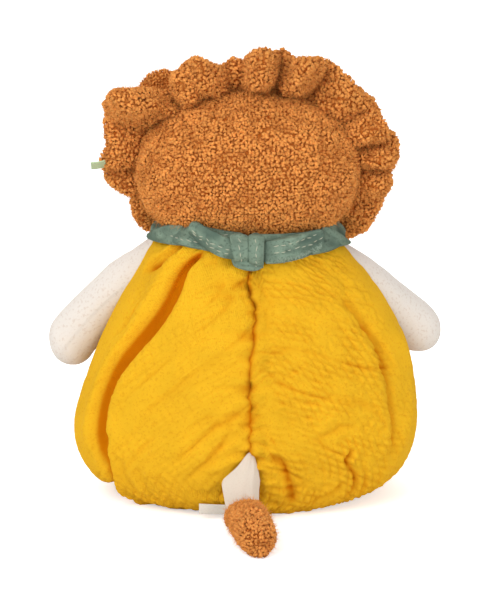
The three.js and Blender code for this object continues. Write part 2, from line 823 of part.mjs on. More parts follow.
function facePieces() {
  const muzzleX = 0;
  const surface = -Math.sqrt(headRadiusAt(muzzleX) ** 2 - muzzleDrop ** 2);
  const muzzleMiddle = new THREE.Vector3(muzzleX, surface, headCentre.z - muzzleDrop);
  const muzzleHalf = new THREE.Vector3(muzzleHalfWidth, muzzleHalfDepth, muzzleHalfHeight);
  const muzzle = ovalForm(muzzleHalf, muzzleMiddle).subtract(headForm(fit));
  const noseRise = muzzleHalfHeight / 2;
  const noseFront = muzzleHalfDepth * Math.sqrt(1 - (noseRise / muzzleHalfHeight) ** 2);
  const noseMiddle = muzzleMiddle.clone().add(new THREE.Vector3(0, -noseFront, noseRise));
  const nose = ovalForm(new THREE.Vector3(noseHalfWidth, noseHalfDepth, noseHalfHeight), noseMiddle)
    .subtract(ovalForm(muzzleHalf.clone().addScalar(fit), muzzleMiddle))
    .subtract(headForm(fit));
  const eye = (sideSign) => {
    const x = (sideSign * eyeSpacing) / 2;
    const y = -Math.sqrt(headRadiusAt(x) ** 2 - eyeRise ** 2);
    const middle = new THREE.Vector3(x, y, headCentre.z + eyeRise);
    const half = new THREE.Vector3(eyeHalfWidth, fit + eyeStandOff, eyeHalfHeight);
    return mainBody(ovalForm(half, middle).subtract(headForm(fit)));
  };
  return { muzzle: mainBody(muzzle), nose: mainBody(nose), eyeLeft: eye(1), eyeRight: eye(-1) };
}

function seamTab() {
  const share = (tabAngle - maneEndAngle) / (180 - 2 * maneEndAngle);
  const { root, outward, lean } = maneFrame(share);
  const along = outward.clone().multiplyScalar(Math.cos(lean));
  along.y = Math.sin(lean);
  const form = new THREE.BoxGeometry(tabLength + tabRoot, tabThickness, tabWidth);
  form.translate((tabLength - tabRoot) / 2, 0, 0);
  form.rotateZ(lean);
  const edge = root.clone().addScaledVector(along, maneHeight);
  form.translate(edge.x, edge.y, edge.z);
  return mainBody(solidOf(form).subtract(maneForm(fit)));
}

function scarfPieces() {
  const low = neckHeight + scarfLowRise;
  const middle = low + scarfWidth / 2;
  const clear = headForm(headSeatEase);
  const inside = bodyForm(fit, { ...romperFacets, rise: 2 * cutOverrun });
  const band = scarfEnvelope(0).subtract(inside).subtract(clear);
  const outer = fit + scarfThickness;
  const knotMiddle = new THREE.Vector3(
    knotOffset,
    bodyAt(middle, "depth") + outer + knotHalfDepth / 2,
    middle - knotDrop,
  );
  const knotForm = (grow) =>
    ovalForm(
      new THREE.Vector3(knotHalfWidth + grow, knotHalfDepth + grow, knotHalfHeight + grow),
      knotMiddle,
    );
  const knot = knotForm(0)
    .subtract(scarfEnvelope(fit))
    .subtract(inside)
    .subtract(clear);
  const end = (sideSign, length, tip) => {
    const from = knotMiddle.x;
    const to = from + sideSign * length;
    return mainBody(
      layer(
        outer + fit,
        endThickness,
        [
          [from, middle - endWidth / 2 - knotDrop / 2],
          [to, middle - endWidth / 2 + endRise / 2],
          [to + sideSign * tip, middle + endWidth / 2 - tip / 2],
          [to, middle + endWidth / 2 + tip / 2 - fit],
          [from, middle + endWidth / 2 - knotDrop / 2],
        ],
        1,
      )
        .subtract(knotForm(fit))
        .subtract(clear),
    );
  };
  const bib = layer(
    fit,
    bibThickness,
    [
      [-bibHalfWidth, low - fit],
      [0, low - fit - bibLength],
      [bibHalfWidth, low - fit],
    ],
    -1,
    romperFacets,
  );
  return {
    band: mainBody(band),
    knot: mainBody(knot),
    endLeft: end(1, leftEndLength, endTipRise),
    endRight: end(-1, rightEndLength, endTipRise),
    bib: mainBody(armsClear(bib)),
  };
}

function armsClear(solid) {
  return Object.values(arms).reduce((left, arm) => left.subtract(limbForm(arm, fit)), solid);
}

function careLabel() {
  const low = labelLift;
  const high = labelLift + labelHeight;
  return mainBody(
    layer(
      fit,
      labelThickness,
      [
        [labelOffset - labelWidth / 2, low],
        [labelOffset + labelWidth / 2, low],
        [labelOffset + labelWidth / 2, high],
        [labelOffset - labelWidth / 2, high],
      ],
      1,
      romperFacets,
    ).subtract(floorCut),
  );
}

const romper = romperPanels();
const torso = torsoFilling();
const head = headPieces();
const face = facePieces();
const scarf = scarfPieces();
const romperOutside = bodyForm(fit, romperFacets);

// Past the armhole an arm is pressed flat where it lies on the romper.
function armTrim(arm) {
  return romperOutside.subtract(ball(arm.rootRadius + armRootEase, arm.pivot));
}

const armPieces = {
  left: limbPieces(arms.left, [armTrim(arms.left)]),
  right: limbPieces(arms.right, [armTrim(arms.right)]),
};
const legPieces = {
  left: limbPieces(legs.left, [floorCut]),
  right: limbPieces(legs.right, [floorCut]),
};
const ears = { left: earPieces(1), right: earPieces(-1) };
const tuftSolid = mainBody(limbForm(tuft, 0).subtract(floorCut));
// The strip's end makes room for the tuft, wherever it sways.
const upAxis = new THREE.Vector3(0, 0, 1);
const tuftRoom = [-tuftSwayRange, 0, tuftSwayRange].map((angle) =>
  turned(limbForm(tuft, fit), tuft.pivot, upAxis, angle),
);
const tailStrip = mainBody(
  [ball(tuftNeckRadius + fit, tuft.pivot), ...tuftRoom, floorCut].reduce(
    (left, tool) => left.subtract(tool),
    tailForm(0),
  ),
);

const headGroup = new THREE.Group();
headGroup.add(
  piece("head_back", head.back, finishes.boucle),
  piece("face_panel", head.face, finishes.jersey),
  piece("head_filling", head.filling, finishes.fibre),
  piece("mane_ruffle", manePiece(), finishes.boucle),
  piece("ear_left", ears.left.ear, finishes.boucle),
  piece("ear_right", ears.right.ear, finishes.boucle),
  piece("ear_lining_left", ears.left.lining, finishes.jersey),
  piece("ear_lining_right", ears.right.lining, finishes.jersey),
  piece("muzzle", face.muzzle, finishes.jersey),
  piece("nose", face.nose, finishes.thread),
  piece("eye_left", face.eyeLeft, finishes.thread),
  piece("eye_right", face.eyeRight, finishes.thread),
  piece("ribbon_tab", seamTab(), finishes.ribbon),
);

const torsoGroup = new THREE.Group();
torsoGroup.add(
  piece("torso_skin", torsoSkin(), finishes.jersey),
  piece("torso_filling", torso.fibre, finishes.fibre),
  piece("pellet_bag", torso.pellets, finishes.pellets),
  piece("romper_back_left", romper.backLeft, finishes.gauze),
  piece("romper_back_right", romper.backRight, finishes.gauze),
  piece("romper_front", romper.front, finishes.gauze),
  piece("romper_seat", seatPanel(), finishes.gauze),
  piece("scarf_band", scarf.band, finishes.scarf),
  piece("scarf_knot", scarf.knot, finishes.scarf),
  piece("scarf_end_left", scarf.endLeft, finishes.scarf),
  piece("scarf_end_right", scarf.endRight, finishes.scarf),
  piece("scarf_bib", scarf.bib, finishes.scarf),
  piece("care_label", careLabel(), finishes.label),
);

const limbGroup = new THREE.Group();
limbGroup.add(
  piece("arm_left", armPieces.left.skin, finishes.jersey),
  piece("arm_left_filling", armPieces.left.filling, finishes.fibre),
  piece("arm_right", armPieces.right.skin, finishes.jersey),
  piece("arm_right_filling", armPieces.right.filling, finishes.fibre),
  piece("leg_left", legPieces.left.skin, finishes.jersey),
  piece("leg_left_filling", legPieces.left.filling, finishes.fibre),
  piece("leg_right", legPieces.right.skin, finishes.jersey),
  piece("leg_right_filling", legPieces.right.filling, finishes.fibre),
  piece("tail_strip", tailStrip, finishes.tail),
  piece("tail_tuft", tuftSolid, finishes.boucle),
);

const lion = new THREE.Group();
lion.add(headGroup, torsoGroup, limbGroup);

export default lion;
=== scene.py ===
import json
import math

import bpy
import numpy as np
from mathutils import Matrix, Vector


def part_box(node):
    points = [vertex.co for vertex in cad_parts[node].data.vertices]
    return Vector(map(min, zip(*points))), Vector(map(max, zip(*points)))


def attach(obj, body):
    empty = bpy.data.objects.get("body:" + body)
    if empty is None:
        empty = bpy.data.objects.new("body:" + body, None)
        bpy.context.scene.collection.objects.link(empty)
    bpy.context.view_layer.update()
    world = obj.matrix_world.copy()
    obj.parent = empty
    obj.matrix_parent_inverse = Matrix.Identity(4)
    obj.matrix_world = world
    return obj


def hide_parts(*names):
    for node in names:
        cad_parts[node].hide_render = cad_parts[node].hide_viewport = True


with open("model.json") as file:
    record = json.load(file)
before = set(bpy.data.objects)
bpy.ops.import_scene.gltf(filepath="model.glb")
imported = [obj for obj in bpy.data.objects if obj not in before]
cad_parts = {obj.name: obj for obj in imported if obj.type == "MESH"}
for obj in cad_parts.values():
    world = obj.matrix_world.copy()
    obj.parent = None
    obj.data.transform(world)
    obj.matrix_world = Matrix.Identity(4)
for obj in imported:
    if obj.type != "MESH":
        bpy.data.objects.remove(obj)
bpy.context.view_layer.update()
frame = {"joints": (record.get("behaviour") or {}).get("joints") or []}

bl_info = {
    "name": "Plush Lion",
    "version": (1, 0, 0),
    "blender": (4, 5, 0),
    "location": "View3D > Sidebar > Lion",
    "description": "Builds the looks of a seated plush lion over its packed model",
    "category": "Add Mesh",
}

MM = 0.001
UP = np.array([0.0, 0.0, 1.0])
BACK = np.array([0.0, 1.0, 0.0])


# Sizes and colours


def length(name, description, default):
    return bpy.props.FloatProperty(
        name=name, description=description, default=default, unit="LENGTH", precision=5
    )


def angle(name, description, degrees):
    return bpy.props.FloatProperty(
        name=name, description=description, default=math.radians(degrees), subtype="ANGLE"
    )


def linear(code):
    """A colour written as six hex digits, as the linear values that shaders take."""
    parts = [int(code[i : i + 2], 16) / 255 for i in (1, 3, 5)]
    return tuple(p / 12.92 if p <= 0.04045 else ((p + 0.055) / 1.055) ** 2.4 for p in parts)


def colour(name, description, code):
    return bpy.props.FloatVectorProperty(
        name=name, description=description, default=linear(code), subtype="COLOR", size=3, min=0, max=1
    )


class LionSizes(bpy.types.PropertyGroup):
    """Sizes of the lion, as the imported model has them, and of what its cloth shows."""

    neck_height: length("Neck height", "Floor to the lowest point of the head", 0.167)
    collar_rise: length("Collar rise", "How far the body's form climbs round the head", 0.022)
    body_half_width: length("Body half width", "Half of the romper's greatest width", 0.112)
    body_half_depth: length("Body half depth", "Half of the romper's greatest depth", 0.076)
    head_half_width: length("Head half width", "Half of the head's width", 0.0725)
    head_radius: length("Head radius", "The head's radius round its side-to-side axis", 0.053)
    face_seam: length("Face seam", "Where the face seam lies, from front to back", -0.006)
    curl_pitch: length("Curl pitch", "Distance between the boucle's curls", 0.00230)
    curl_radius: length("Curl radius", "Radius of one curl of the boucle", 0.00120)
    curl_thickness: length("Curl thickness", "Radius of the boucle's yarn", 0.00138)
    fuzz_length: length("Fuzz length", "Length of the loose fibres over the curls", 0.0035)
    fuzz_thickness: length("Fuzz thickness", "Radius of a loose fibre", 0.00011)
    gauze_cell: length("Gauze cell", "Width of one crinkled cell of the double gauze", 0.0055)
    gauze_crinkle: length("Gauze crinkle", "Depth of the creases between the gauze's cells", 0.0018)
    thread: length("Thread", "Distance between the threads of the woven cloths", 0.0007)
    stitch_length: length("Stitch length", "Length of one running stitch on the scarf", 0.0032)
    stitch_pitch: length("Stitch pitch", "Distance from one running stitch to the next", 0.0050)
    arm_length: length("Arm length", "From the shoulder's pivot to the hand's tip", 0.092)
    arm_root: length("Arm root", "The arm's radius at the shoulder", 0.011)
    arm_hand: length("Hand radius", "The arm's radius at the hand", 0.0164)
    leg_length: length("Leg length", "From the hip's pivot to the foot's tip", 0.074)
    leg_root: length("Leg root", "The leg's radius at the hip", 0.015)
    leg_foot: length("Foot radius", "The leg's radius at the foot", 0.020)
    tuft_length: length("Tuft length", "Length of the tail's tuft", 0.054)
    tuft_radius: length("Tuft radius", "Greatest radius of the tail's tuft", 0.0145)
    camera_distance: length("Camera distance", "From the camera to the middle of the lion", 3.2)
    camera_rise: angle("Camera rise", "How far the camera looks down", 15)


class LionColours(bpy.types.PropertyGroup):
    """Colours of the lion's cloths and threads, and of the stage."""

    boucle: colour("Boucle", "The boucle's curls", "#e69a4e")
    # Painted shade between the boucle's curls and at their roots; the same colour also gives the boucle's
    # flecks.
    boucle_shade_and_fleck: colour("Boucle, shade and flecks", "Between the boucle's curls", "#a54a04")
    gauze: colour("Gauze", "The romper's double gauze", "#ffc428")
    # Painted shade in the romper's folds, creases and seams; the same colour also gives the gauze's flecks.
    gauze_shade_and_fleck: colour("Gauze, shade and flecks", "The romper's gauze in its folds", "#e08400")
    scarf: colour("Scarf", "The scarf's gauze", "#8da38f")
    # Painted shade in the scarf's folds; the same colour also gives the scarf's flecks.
    scarf_shade_and_fleck: colour("Scarf, shade and flecks", "The scarf's gauze in its folds", "#64796b")
    jersey: colour("Jersey", "The limbs' and face's jersey", "#dfd7ce")
    fleck: colour("Fleck", "Flecks in the jersey", "#bfa691")
    tail: colour("Tail", "The tail's plain cotton", "#d6c9b9")
    stitch: colour("Stitch", "Running stitches on the scarf", "#cfcfb6")
    whip: colour("Whipping", "Threads over the scarf's raw edge", "#9fb29f")
    thread: colour("Face thread", "The nose, the mouth and the eyes", "#43261a")
    ribbon: colour("Ribbon", "The ribbon tab at the mane's edge", "#b4c69c")
    label: colour("Label", "The blank care label", "#e9e4da")
    floor: colour("Floor", "The floor and the backdrop", "#f4f4f4")


def sizes():
    return bpy.context.scene.lion_sizes


def colours():
    return bpy.context.scene.lion_colours


# Curves, noise and meshes


def smooth_curve(values, shares):
    """A smooth curve through evenly spaced values, read at shares of its length."""
    values = np.asarray(values, float)
    last = len(values) - 1
    place = np.clip(np.asarray(shares, float), 0, 1) * last
    i = np.minimum(place.astype(int), last - 1)
    t = place - i
    if values.ndim > 1:
        t = t[..., None]
    before, a = values[np.maximum(i - 1, 0)], values[i]
    b, after = values[i + 1], values[np.minimum(i + 2, last)]
    slope_a, slope_b = (b - before) / 2, (after - a) / 2
    cubic = (2 * a - 2 * b + slope_a + slope_b) * t**3
    square = (3 * b - 3 * a - 2 * slope_a - slope_b) * t**2
    return cubic + square + slope_a * t + a


def smoothstep(x, low, high):
    t = np.clip((np.asarray(x, float) - low) / (high - low), 0, 1)
    return t * t * (3 - 2 * t)


def unit(vectors):
    vectors = np.asarray(vectors, float)
    return vectors / np.maximum(np.linalg.norm(vectors, axis=-1, keepdims=True), 1e-12)


def noise(points, cell, seed=0):
    """Smooth noise from -1 to 1 at each point, with features about one cell wide."""
    table = np.random.default_rng(seed).random((32, 32, 32)) * 2 - 1
    q = np.asarray(points, float) / cell
    low = np.floor(q).astype(int)
    f = q - low
    f = f * f * (3 - 2 * f)
    total = np.zeros(q.shape[:-1])
    for corner in np.ndindex(2, 2, 2):
        step = np.array(corner)
        i = (low + step) % 32
        weight = np.prod(np.where(step == 1, f, 1 - f), axis=-1)
        total += weight * table[i[..., 0], i[..., 1], i[..., 2]]
    return total


def flat(*parts):
    """Places in a plane, as points that noise can read."""
    parts = np.broadcast_arrays(*parts)
    return np.stack([*parts, np.zeros(parts[0].shape)], axis=-1)


def grid_normals(points):
    """Normals of a grid whose columns run round it and whose rows run along it."""
    across = np.gradient(points, axis=1)
    along = np.gradient(points, axis=0)
    return unit(np.cross(across, along))


def grid_faces(rows, columns, wrap=False):
    i, j = np.meshgrid(np.arange(rows - 1), np.arange(columns if wrap else columns - 1), indexing="ij")
    k = (j + 1) % columns
    corners = [i * columns + j, i * columns + k, (i + 1) * columns + k, (i + 1) * columns + j]
    return np.stack(corners, axis=-1).reshape(-1, 4)


def joined(parts):
    """Several sets of points, faces and values, as one."""
    points, faces, values, count = [], [], {}, 0
    for part_points, part_faces, part_values in parts:
        points.append(part_points.reshape(-1, 3))
        faces.append(part_faces + count)
        for key, value in part_values.items():
            values.setdefault(key, []).append(np.asarray(value, float).reshape(-1))
        count += len(points[-1])
    return np.concatenate(points), np.concatenate(faces), {k: np.concatenate(v) for k, v in values.items()}


def add_piece(name, points, faces, look, body, stands_for=(), values=None, uv=None):
    """A smooth mesh that rides on a body, with named values on its points."""
    points = points.reshape(-1, 3)
    mesh = bpy.data.meshes.new(name)
    mesh.vertices.add(len(points))
    mesh.vertices.foreach_set("co", points.astype(np.float32).ravel())
    mesh.loops.add(faces.size)
    mesh.loops.foreach_set("vertex_index", faces.astype(np.int32).ravel())
    mesh.polygons.add(len(faces))
    mesh.polygons.foreach_set("loop_start", np.arange(0, faces.size, faces.shape[1], dtype=np.int32))
    for key, value in (values or {}).items():
        mesh.attributes.new(key, "FLOAT", "POINT")
        mesh.attributes[key].data.foreach_set("value", np.asarray(value, np.float32).ravel())
    if uv is not None:
        layer = mesh.uv_layers.new(name="Cloth")
        layer.data.foreach_set("uv", uv.reshape(-1, 2)[faces.ravel()].astype(np.float32).ravel())
    mesh.update(calc_edges=True)
    mesh.validate()
    mesh.shade_smooth()
    mesh.materials.append(bpy.data.materials[look])
    piece = bpy.data.objects.new(name, mesh)
    bpy.context.scene.collection.objects.link(piece)
    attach(piece, body)
    if stands_for:
        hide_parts(*stands_for)
    return piece


def grid_lengths(points):
    """How far each point of a grid lies along its row and its column, in metres."""
    across = np.linalg.norm(np.diff(points, axis=1), axis=-1).cumsum(axis=1)
    along = np.linalg.norm(np.diff(points, axis=0), axis=-1).cumsum(axis=0)
    across = np.concatenate([np.zeros((len(points), 1)), across], axis=1)
    along = np.concatenate([np.zeros((1, points.shape[1])), along], axis=0)
    return np.stack([across, along], axis=-1)


def add_cloth(name, points, look, body, stands_for=(), values=None, wrap=False, flip=False):
    """A piece made of one grid of points, with its faces turned over where flip says so."""
    faces = grid_faces(*points.shape[:2], wrap)
    if flip:
        faces = faces[:, ::-1]
    return add_piece(name, points, faces, look, body, stands_for, values, grid_lengths(points))


def add_threads(name, parts, look):
    """Many short threads as one piece."""
    points, faces, _ = joined(parts)
    add_piece(name, points, faces, look, "torso", uv=points[:, :2])


def layered(points, *layers):
    """Noise in layers, each of a height, a size and a seed."""
    return sum(height * noise(points, size, seed) for height, size, seed in layers)


def thicken(piece, thickness, offset=-1):
    """Gives a sheet of cloth its thickness."""
    wall = piece.modifiers.new("Cloth thickness", "SOLIDIFY")
    wall.thickness = thickness
    wall.offset = offset


def full_turn(count):
    """Angles spread evenly round a full turn."""
    return np.linspace(0, 2 * np.pi, count, endpoint=False)


def ring_of(side, up, count):
    """Directions round a ring, with one ring for each pair of side and up."""
    turn = full_turn(count)[:, None]
    return np.cos(turn) * side[..., None, :] + np.sin(turn) * up[..., None, :]


def run_of(line):
    """How far each point of a line lies along it."""
    return np.concatenate([[0], np.linalg.norm(np.diff(line, axis=0), axis=1).cumsum()])


def from_ends(count):
    """How many steps each place of a row lies from the nearer end of the row."""
    return np.minimum(np.arange(count), np.arange(count)[::-1])


def level_out(points):
    """Level directions away from the lion's upright middle."""
    return unit(points * np.array([1, 1, 0]))


def lift_to_floor(points, floor=0.0):
    """Lifts the points that lie under the floor onto it."""
    points[..., 2] = np.maximum(points[..., 2], floor)


def box_parts(box):
    """A box's low and high corners, its middle and its half size."""
    low, high = (np.array(v) for v in box)
    return low, high, (low + high) / 2, (high - low) / 2


# Materials


def add_node(tree, kind, **settings):
    node = tree.nodes.new(kind)
    for key, value in settings.items():
        setattr(node, key, value)
    return node


def math_node(tree, operation, first, second):
    node = add_node(tree, "ShaderNodeMath", operation=operation)
    for socket, value in zip(node.inputs, (first, second)):
        if isinstance(value, (int, float)):
            socket.default_value = value
        else:
            tree.links.new(value, socket)
    return node.outputs[0]


def noise_texture(tree, **settings):
    """A noise texture that is fixed to the piece's own place."""
    node = add_node(tree, "ShaderNodeTexNoise")
    for key, value in settings.items():
        node.inputs[key.capitalize()].default_value = value
    place = add_node(tree, "ShaderNodeTexCoord")
    tree.links.new(place.outputs["Object"], node.inputs["Vector"])
    return node


def bump_node(tree, height, strength):
    node = add_node(tree, "ShaderNodeBump")
    node.inputs["Strength"].default_value = strength
    tree.links.new(height, node.inputs["Height"])
    return node


def mixed_colour(tree, factor, first, second):
    node = add_node(tree, "ShaderNodeMix", data_type="RGBA")
    tree.links.new(factor, node.inputs["Factor"])
    tree.links.new(first, node.inputs[6])
    tree.links.new(second, node.inputs[7])
    return node.outputs[2]


def shaded_colour(tree, colour, swing):
    """A colour made brighter or darker by a swing about zero."""
    node = add_node(tree, "ShaderNodeHueSaturation")
    tree.links.new(math_node(tree, "ADD", swing, 1.0), node.inputs["Value"])
    tree.links.new(colour, node.inputs["Color"])
    return node.outputs[0]


def new_group(name, inputs, outputs):
    group = bpy.data.node_groups.new(name, "ShaderNodeTree")
    for key, kind, value in inputs:
        socket = group.interface.new_socket(key, in_out="INPUT", socket_type=kind)
        if value is not None:
            socket.default_value = value
    for key, kind in outputs:
        group.interface.new_socket(key, in_out="OUTPUT", socket_type=kind)
    return group, add_node(group, "NodeGroupInput"), add_node(group, "NodeGroupOutput")


def weave_group():
    """Crossing threads, as a normal, from the cloth's own lengths."""
    group, given, result = new_group(
        "Weave",
        [("Thread", "NodeSocketFloat", 0.0007), ("Depth", "NodeSocketFloat", 0.0002)],
        [("Normal", "NodeSocketVector")],
    )
    links = group.links
    place = add_node(group, "ShaderNodeUVMap", uv_map="Cloth")
    split = add_node(group, "ShaderNodeSeparateXYZ")
    links.new(place.outputs[0], split.inputs[0])
    turns = math_node(group, "DIVIDE", 2 * math.pi, given.outputs["Thread"])
    waves = []
    for axis in (0, 1):
        turn = math_node(group, "MULTIPLY", split.outputs[axis], turns)
        waves.append(math_node(group, "SINE", turn, 0))
    crossed = math_node(group, "MULTIPLY", waves[0], waves[1])
    slub = noise_texture(group, scale=620, detail=4, roughness=0.65)
    height = math_node(group, "ADD", math_node(group, "MULTIPLY", crossed, 0.4), slub.outputs["Fac"])
    bump = bump_node(group, height, 0.8)
    links.new(given.outputs["Depth"], bump.inputs["Distance"])
    links.new(bump.outputs[0], result.inputs["Normal"])


def fleck_group():
    """A colour that drifts a little over the cloth and is strewn with flecks."""
    group, given, result = new_group(
        "Flecks",
        [
            ("Colour", "NodeSocketColor", None),
            ("Fleck", "NodeSocketColor", None),
            ("Scale", "NodeSocketFloat", 420.0),
            ("Share", "NodeSocketFloat", 0.3),
            ("Drift", "NodeSocketFloat", 0.1),
        ],
        [("Colour", "NodeSocketColor")],
    )
    links = group.links
    specks = noise_texture(group, detail=2)
    links.new(given.outputs["Scale"], specks.inputs["Scale"])
    mask = add_node(group, "ShaderNodeMapRange", interpolation_type="SMOOTHSTEP")
    mask.inputs["From Min"].default_value = 0.52
    mask.inputs["From Max"].default_value = 0.70
    links.new(specks.outputs["Fac"], mask.inputs["Value"])
    amount = math_node(group, "MULTIPLY", mask.outputs[0], given.outputs["Share"])
    mixed = mixed_colour(group, amount, given.outputs["Colour"], given.outputs["Fleck"])
    broad = math_node(group, "SUBTRACT", noise_texture(group, scale=28).outputs["Fac"], 0.5)
    swing = math_node(group, "MULTIPLY", broad, given.outputs["Drift"])
    links.new(shaded_colour(group, mixed, swing), result.inputs["Colour"])


def painted_shade_group():
    """Mixes a surface colour into a painted shade colour by a painted shade value kept on the mesh, then
    varies its brightness by a tone kept on the mesh, which is partly random and partly painted light.
    """
    group, given, result = new_group(
        "Painted shade and tone",
        [
            ("Colour", "NodeSocketColor", None),
            ("Deep colour", "NodeSocketColor", None),
            ("Tone swing", "NodeSocketFloat", 0.2),
        ],
        [("Colour", "NodeSocketColor")],
    )
    deep = add_node(group, "ShaderNodeAttribute", attribute_name="deep")
    tone_and_painted_light = add_node(group, "ShaderNodeAttribute", attribute_name="tone_and_painted_light")
    colours_given = (given.outputs["Colour"], given.outputs["Deep colour"])
    mixed = mixed_colour(group, deep.outputs["Fac"], *colours_given)
    swing = math_node(group, "MULTIPLY", tone_and_painted_light.outputs["Fac"], given.outputs["Tone swing"])
    group.links.new(shaded_colour(group, mixed, swing), result.inputs["Colour"])


def new_material(name, roughness, sheen=0.0):
    """A cloth's material: its node tree and its shader."""
    material = bpy.data.materials.new(name)
    material.use_nodes = True
    shader = material.node_tree.nodes["Principled BSDF"]
    shader.inputs["Roughness"].default_value = roughness
    shader.inputs["Specular IOR Level"].default_value = 0.06
    shader.inputs["Sheen Weight"].default_value = sheen
    shader.inputs["Sheen Roughness"].default_value = 0.5
    return material.node_tree, shader


def add_group(tree, name, **values):
    node = add_node(tree, "ShaderNodeGroup", node_tree=bpy.data.node_groups[name])
    for key, value in values.items():
        socket = node.inputs[key.replace("_", " ").capitalize()]
        socket.default_value = (*value, 1) if hasattr(value, "__len__") else value
    return node


def boucle_material():
    c = colours()
    tree, shader = new_material("Boucle", roughness=1.0, sheen=0.03)
    # The boucle is mixed towards its painted shade colour by the painted shade kept on the mesh.
    shades = add_group(tree, "Painted shade and tone", colour=c.boucle, deep_colour=c.boucle_shade_and_fleck, tone_swing=0.22)
    flecks = add_group(tree, "Flecks", fleck=c.boucle_shade_and_fleck, scale=700, share=0.12, drift=0.12)
    tree.links.new(shades.outputs[0], flecks.inputs["Colour"])
    tree.links.new(flecks.outputs[0], shader.inputs["Base Color"])
    fibres = noise_texture(tree, scale=2600, detail=3)
    bump = bump_node(tree, fibres.outputs["Fac"], 0.6)
    bump.inputs["Distance"].default_value = 0.0003
    tree.links.new(bump.outputs[0], shader.inputs["Normal"])


def woven_material(name, light, deep, drift, depth, swing=0.1, thread=None, fleck_share=0.3):
    """A woven cloth: its threads, its painted shade in the folds and a slow drift of its colour."""
    tree, shader = new_material(name, roughness=0.95)
    shades = add_group(tree, "Painted shade and tone", colour=light, deep_colour=deep, tone_swing=swing)
    flecks = add_group(tree, "Flecks", fleck=deep, scale=640, share=fleck_share, drift=drift)
    weave = add_group(tree, "Weave", thread=thread or sizes().thread, depth=depth)
    tree.links.new(shades.outputs[0], flecks.inputs["Colour"])
    tree.links.new(flecks.outputs[0], shader.inputs["Base Color"])
    tree.links.new(weave.outputs["Normal"], shader.inputs["Normal"])


def flecked_material(name, light, fleck, share, scale, roughness=0.9, thread=None):
    """A plain cloth of one colour with flecks in its yarn."""
    tree, shader = new_material(name, roughness=roughness, sheen=0.15)
    flecks = add_group(tree, "Flecks", colour=light, fleck=fleck, scale=scale, share=share, drift=0.05)
    weave = add_group(tree, "Weave", thread=thread or sizes().thread, depth=0.0001)
    tree.links.new(flecks.outputs[0], shader.inputs["Base Color"])
    tree.links.new(weave.outputs["Normal"], shader.inputs["Normal"])


def make_materials():
    c = colours()
    weave_group()
    fleck_group()
    painted_shade_group()
    boucle_material()
    woven_material("Gauze", c.gauze, c.gauze_shade_and_fleck, drift=0.10, depth=0.0011, thread=0.0012)
    woven_material(
        "Scarf gauze", c.scarf, c.scarf_shade_and_fleck,
        drift=0.2, depth=0.0012, swing=0.3, thread=0.001, fleck_share=0.75,
    )
    flecked_material("Jersey", c.jersey, c.fleck, share=0.34, scale=560)
    flecked_material("Tail cotton", c.tail, c.fleck, share=0.15, scale=900)
    flecked_material("Label", c.label, c.fleck, share=0.15, scale=900, thread=0.0005)
    flecked_material("Ribbon", c.ribbon, c.scarf, share=0.25, scale=700, thread=0.0006)
    flecked_material("Stitch thread", c.stitch, c.fleck, share=0.3, scale=900, thread=0.0004)
    flecked_material("Whip thread", c.whip, c.scarf, share=0.3, scale=900, thread=0.0004)
    flecked_material("Face thread", c.thread, c.thread, share=0.2, scale=900, roughness=0.6)


# Boucle

ROOTS_TRIED = 7  # for each square pitch of a surface, before they are thinned to one
CLUMP_SIZE = 0.0050
CLUMP_LIFT = 0.0007  # how much higher the curls of a clump stand


def scatter(points, faces, pitch, rng, keep=None):
    """Roots spread evenly over a surface, one to each small cube of space, and their normals."""
    corners = points.reshape(-1, 3)[np.concatenate([faces[:, [0, 1, 2]], faces[:, [0, 2, 3]]])]
    cross = np.cross(corners[:, 1] - corners[:, 0], corners[:, 2] - corners[:, 0])
    area = np.linalg.norm(cross, axis=1) / 2
    count = int(area.sum() / pitch**2 * ROOTS_TRIED)
    pick = rng.choice(len(area), count, p=area / area.sum())
    one, two = np.sqrt(rng.random(count))[:, None], rng.random(count)[:, None]
    a, b, c = corners[pick, 0], corners[pick, 1], corners[pick, 2]
    roots = (1 - one) * a + one * (1 - two) * b + one * two * c
    cube = np.floor(roots / pitch).astype(int)
    from_middle = np.linalg.norm(roots / pitch - cube - 0.5, axis=1) + 0.35 * rng.random(count)
    order = np.argsort(from_middle)
    first = order[np.unique(cube[order], axis=0, return_index=True)[1]]
    roots, normals = roots[first], unit(cross[pick[first]])
    if keep is not None:
        kept = keep(roots)
        roots, normals = roots[kept], normals[kept]
    return roots, normals


def strands(middles, outs, sides, thickness):
    """Three-sided strands: each row of points is the middle line of one strand."""
    rings = []
    for k in range(middles.shape[1]):
        for corner in (0, 2 * math.pi / 3, 4 * math.pi / 3):
            ring = outs[:, k] * math.cos(corner) + sides * math.sin(corner)
            rings.append(middles[:, k] + thickness[:, k] * ring)
    size = 3 * middles.shape[1]
    one_strand = grid_faces(middles.shape[1], 3, wrap=True)
    faces = (one_strand[None] + np.arange(len(middles))[:, None, None] * size).reshape(-1, 4)
    return np.stack(rings, axis=1), faces


